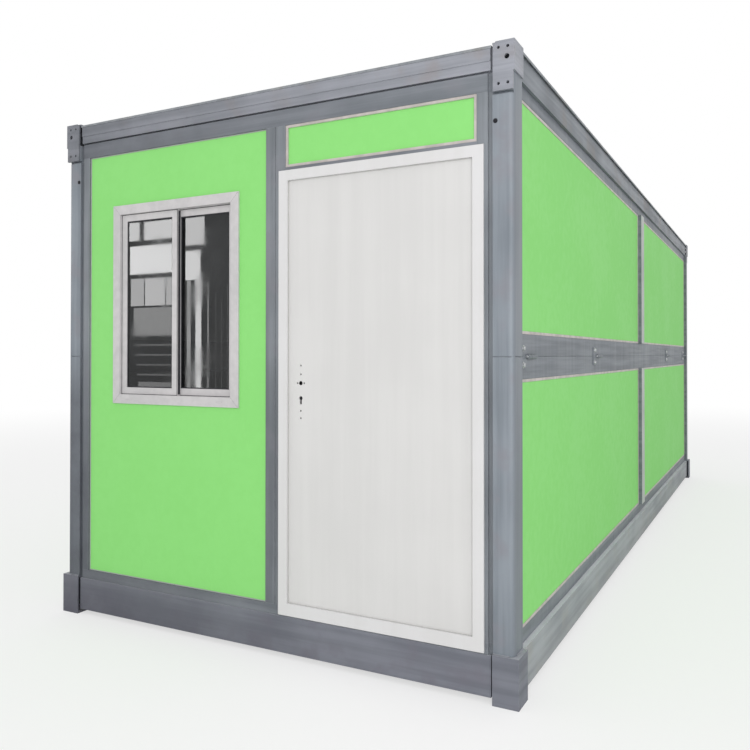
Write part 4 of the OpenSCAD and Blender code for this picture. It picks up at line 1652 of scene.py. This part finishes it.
@dataclass(frozen=True)
class ReflectionCard:
    """A pale or dark glowing card that paints part of the window's reflection, by its share of a pane."""

    left: float
    right: float
    bottom: float
    top: float
    painted_reflection_glow: float


@dataclass(frozen=True)
class Stage:
    """Plain pale floor, soft light, the camera, and glowing cards that only mirrors see, which paint a
    reflection into the window.
    """

    eye_x: float = 2.080
    eye_back: float = 2.656
    eye_z: float = 1.317
    yaw: float = 26.61
    pitch: float = 0.53
    lens: float = 35.76408
    sensor: float = 36.0
    shift: tuple[float, float] = (-0.0398667, -0.036)
    view_reach: float = 200.0
    sky: float = 0.80
    key_power: float = 285.0
    key_place: tuple[float, float, float] = (5.2, -7.2, 3.0)
    key_aim: tuple[float, float, float] = (0.6, 0.0, 1.0)
    key_size: float = 4.0
    floor_size: float = 80.0
    floor_colour: str = "#f2f2f2"
    floor_roughness: float = 0.9
    floor_specular: float = 0.1
    floor_fade: Fade = Fade(5.0, 16.0, 0.6, 1.0)
    # The glowing cards that paint a reflection into the window.
    card_distance: float = 6.0
    card_step: float = 0.02
    card_colour: str = "#101010"
    backdrop: ReflectionCard = ReflectionCard(-0.25, 1.3, -0.5, 1.4, 0.28)
    reflection_backdrop_back: float = 0.3

    def eye(self) -> Vector:
        """Gives the camera's place."""
        return Vector((self.eye_x, CAD_BOX[0].y - self.eye_back, self.eye_z))

    def build(self) -> None:
        """Builds the stage."""
        bpy.context.scene.view_settings.view_transform = "Standard"
        self.build_camera()
        self.build_world()
        self.build_key()
        self.build_floor()
        self.build_cards()

    def build_camera(self) -> None:
        """Adds the camera, at chest height off the front right corner."""
        data = bpy.data.cameras.new("camera")
        data.sensor_width = self.sensor
        data.lens = self.lens
        data.shift_x, data.shift_y = self.shift
        data.clip_end = self.view_reach
        camera = bpy.data.objects.new("camera", data)
        camera.location = self.eye()
        camera.rotation_euler = (math.radians(90 + self.pitch), 0.0, math.radians(self.yaw))
        bpy.context.scene.collection.objects.link(camera)
        bpy.context.scene.camera = camera

    def build_world(self) -> None:
        """Makes an even sky that looks white, and lights the object less than it looks."""
        world = bpy.data.worlds.new("studio")
        world.use_nodes = True
        tree = world.node_tree
        tree.nodes.clear()
        ray = add_node(tree, "LightPath")
        seen = ray.outputs["Is Camera Ray"]
        for other in ("Is Glossy Ray", "Is Transmission Ray"):
            seen = add_node(tree, "Math", {0: seen, 1: ray.outputs[other]}, operation="MAXIMUM").outputs[0]
        strength = add_node(tree, "MapRange", {"Value": seen, "To Min": self.sky, "To Max": 1.0})
        light = add_node(tree, "Background", {"Color": WHITE, "Strength": strength.outputs["Result"]})
        add_node(tree, "OutputWorld", {"Surface": light.outputs["Background"]})
        bpy.context.scene.world = world

    def build_key(self) -> None:
        """Adds one broad, soft lamp, high at the front right."""
        data = bpy.data.lights.new("key", "AREA")
        data.energy = self.key_power
        data.size = self.key_size
        lamp = bpy.data.objects.new("key", data)
        front = Vector((0.0, CAD_BOX[0].y, 0.0))
        lamp.location = Vector(self.key_place) + front
        aim = Vector(self.key_aim) + front - lamp.location
        lamp.rotation_euler = aim.to_track_quat("-Z", "Y").to_euler()
        bpy.context.scene.collection.objects.link(lamp)

    def stand(self, name: str, shape: Shape, finish: Material) -> Object:
        """Puts a thing on the stage.

        Args:
            name: Its name.
            shape: Its shell, which is used up.
            finish: Its material.

        Returns:
            The object.
        """
        mesh = bpy.data.meshes.new(name)
        shape.mesh.to_mesh(mesh)
        shape.mesh.free()
        mesh.materials.append(finish)
        thing = bpy.data.objects.new(name, mesh)
        bpy.context.scene.collection.objects.link(thing)
        return thing

    def build_floor(self) -> None:
        """Lays a wide matt floor that keeps the shadow near the house and turns white further out."""
        shape = Shape()
        bmesh.ops.create_grid(shape.mesh, x_segments=1, y_segments=1, size=self.floor_size)
        recipe = Recipe("pale_floor")
        ray = recipe.add("LightPath", output="Is Camera Ray")
        distance = recipe.add("VectorMath", {0: recipe.place}, "Value", operation="LENGTH")
        fade = recipe.add("MapRange", self.floor_fade.of(distance), **SMOOTHLY)
        share = recipe.add("Math", {0: ray, 1: fade}, operation="MULTIPLY")
        shader = recipe.add("BsdfPrincipled", {
            "Base Color": self.floor_colour,
            "Roughness": self.floor_roughness,
            "Specular IOR Level": self.floor_specular,
        })
        white = recipe.add("Emission", {"Color": WHITE, "Strength": 1.0})
        both = recipe.add("MixShader", {0: share, 1: shader, 2: white})
        self.stand("floor", shape, recipe.finish(both))

    def mirrored(self, pane: tuple[Span, Span], across: float, up: float) -> Vector:
        """Finds where the camera sees a place in a pane mirrored, on the plane of the cards.

        Args:
            pane: The pane's extent across and in depth.
            across: Share of the pane's width, from its left edge.
            up: Share of its height, from its lower edge.

        Returns:
            The place.
        """
        (left, right), (front, _) = pane
        bottom, top = span("window_glass", 2)
        eye = self.eye()
        image = Vector((eye.x, 2 * front - eye.y, eye.z))
        point = Vector((left + across * (right - left), front, bottom + up * (top - bottom)))
        plane = CAD_BOX[0].y - self.card_distance
        return image + (point - image) * ((plane - image.y) / (front - image.y))

    def build_cards(self) -> None:
        """Hangs the painted reflection: a dark card behind both panes' cards, and each pane's cards one
        behind the other.
        """
        whole = (span("window_frame", 0), span("window_glass", 1))
        self.add_card("dark_reflection_backdrop", whole, self.backdrop, self.reflection_backdrop_back)
        sides = ((LEFT_PANE_REFLECTION_CARDS, "left"), (RIGHT_PANE_REFLECTION_CARDS, "right"))
        for pane, (cards, side) in zip(panes(), sides):
            for index, card in enumerate(cards):
                self.add_card(f"{side}_card_{index}", pane, card, index * self.card_step)

    def add_card(self, name: str, pane: tuple[Span, Span], card: ReflectionCard, back: float) -> None:
        """Hangs one glowing card that only mirrors see, as part of the painted reflection.

        Args:
            name: Name of the card.
            pane: The pane that mirrors it.
            card: Its edges and brightness.
            back: How far behind the first one it hangs.
        """
        low = self.mirrored(pane, card.left, card.bottom)
        high = self.mirrored(pane, card.right, card.top)
        place = Matrix.Translation(((low.x + high.x) / 2, low.y - back, (low.z + high.z) / 2))
        turn = Matrix.Rotation(math.radians(-90), 4, "X")
        size = Matrix.Diagonal((abs(high.x - low.x), abs(high.z - low.z), 1, 1))
        shape = Shape()
        bmesh.ops.create_grid(
            shape.mesh, x_segments=1, y_segments=1, size=0.5, matrix=place @ turn @ size
        )
        recipe = Recipe(name)
        painted_reflection_glow = {"Base Color": self.card_colour, "Emission Color": WHITE, "Emission Strength": card.painted_reflection_glow}
        sheet = self.stand(name, shape, recipe.finish(recipe.add("BsdfPrincipled", painted_reflection_glow)))
        # Seen only in reflections: a painted reflection.
        sheet.visible_camera = False
        sheet.visible_diffuse = False
        sheet.visible_transmission = False
        sheet.visible_shadow = False


# Where each pane's glowing cards paint its reflection, by share of the pane, and how brightly.
LEFT_PANE_REFLECTION_CARDS = (
    ReflectionCard(0.0, 0.26, 0.88, 0.99, 4.8),
    ReflectionCard(0.34, 1.0, 0.88, 0.99, 5.0),
    ReflectionCard(0.0, 1.0, 0.68, 0.85, 6.0),
    ReflectionCard(0.0, 0.3, 0.49, 0.655, 3.3),
    ReflectionCard(0.3, 0.75, 0.49, 0.655, 4.0),
    ReflectionCard(0.75, 1.0, 0.49, 0.655, 3.5),
    ReflectionCard(0.0, 1.0, 0.31, 0.48, 2.0),
    ReflectionCard(0.0, 1.0, 0.25, 0.26, 1.1),
    ReflectionCard(0.0, 1.0, 0.19, 0.2, 1.0),
    ReflectionCard(0.0, 1.0, 0.13, 0.14, 0.9),
    ReflectionCard(0.0, 1.0, 0.07, 0.08, 1.0),
    ReflectionCard(0.0, 1.0, 0.0, 0.03, 1.4),
)
RIGHT_PANE_REFLECTION_CARDS = (
    ReflectionCard(0.06, 0.48, 0.83, 0.99, 4.5),
    ReflectionCard(0.06, 0.38, 0.63, 0.8, 5.5),
    ReflectionCard(0.26, 0.38, 0.0, 0.63, 5.3),
    ReflectionCard(0.06, 0.14, 0.0, 0.63, 2.5),
    ReflectionCard(0.47, 0.5, 0.0, 0.62, 1.9),
    ReflectionCard(0.62, 0.63, 0.0, 0.55, 0.8),
    ReflectionCard(0.72, 0.73, 0.0, 0.5, 0.8),
    ReflectionCard(0.82, 0.83, 0.0, 0.6, 0.8),
)


def main() -> None:
    """Builds the stage, the finishes and every sub-assembly, in order."""
    logging.basicConfig(level=logging.INFO, format="%(name)s: %(message)s")
    Stage().build()
    finishes = Finishes()
    finishes.dress_frame()
    assemblies = (BaseFrame, RoofFrame, SideWalls, SeamHinges, FrontWall, Window, Door, RearWall)
    for assembly in assemblies:
        assembly(finishes).build()


if __name__ == "__main__":
    main()
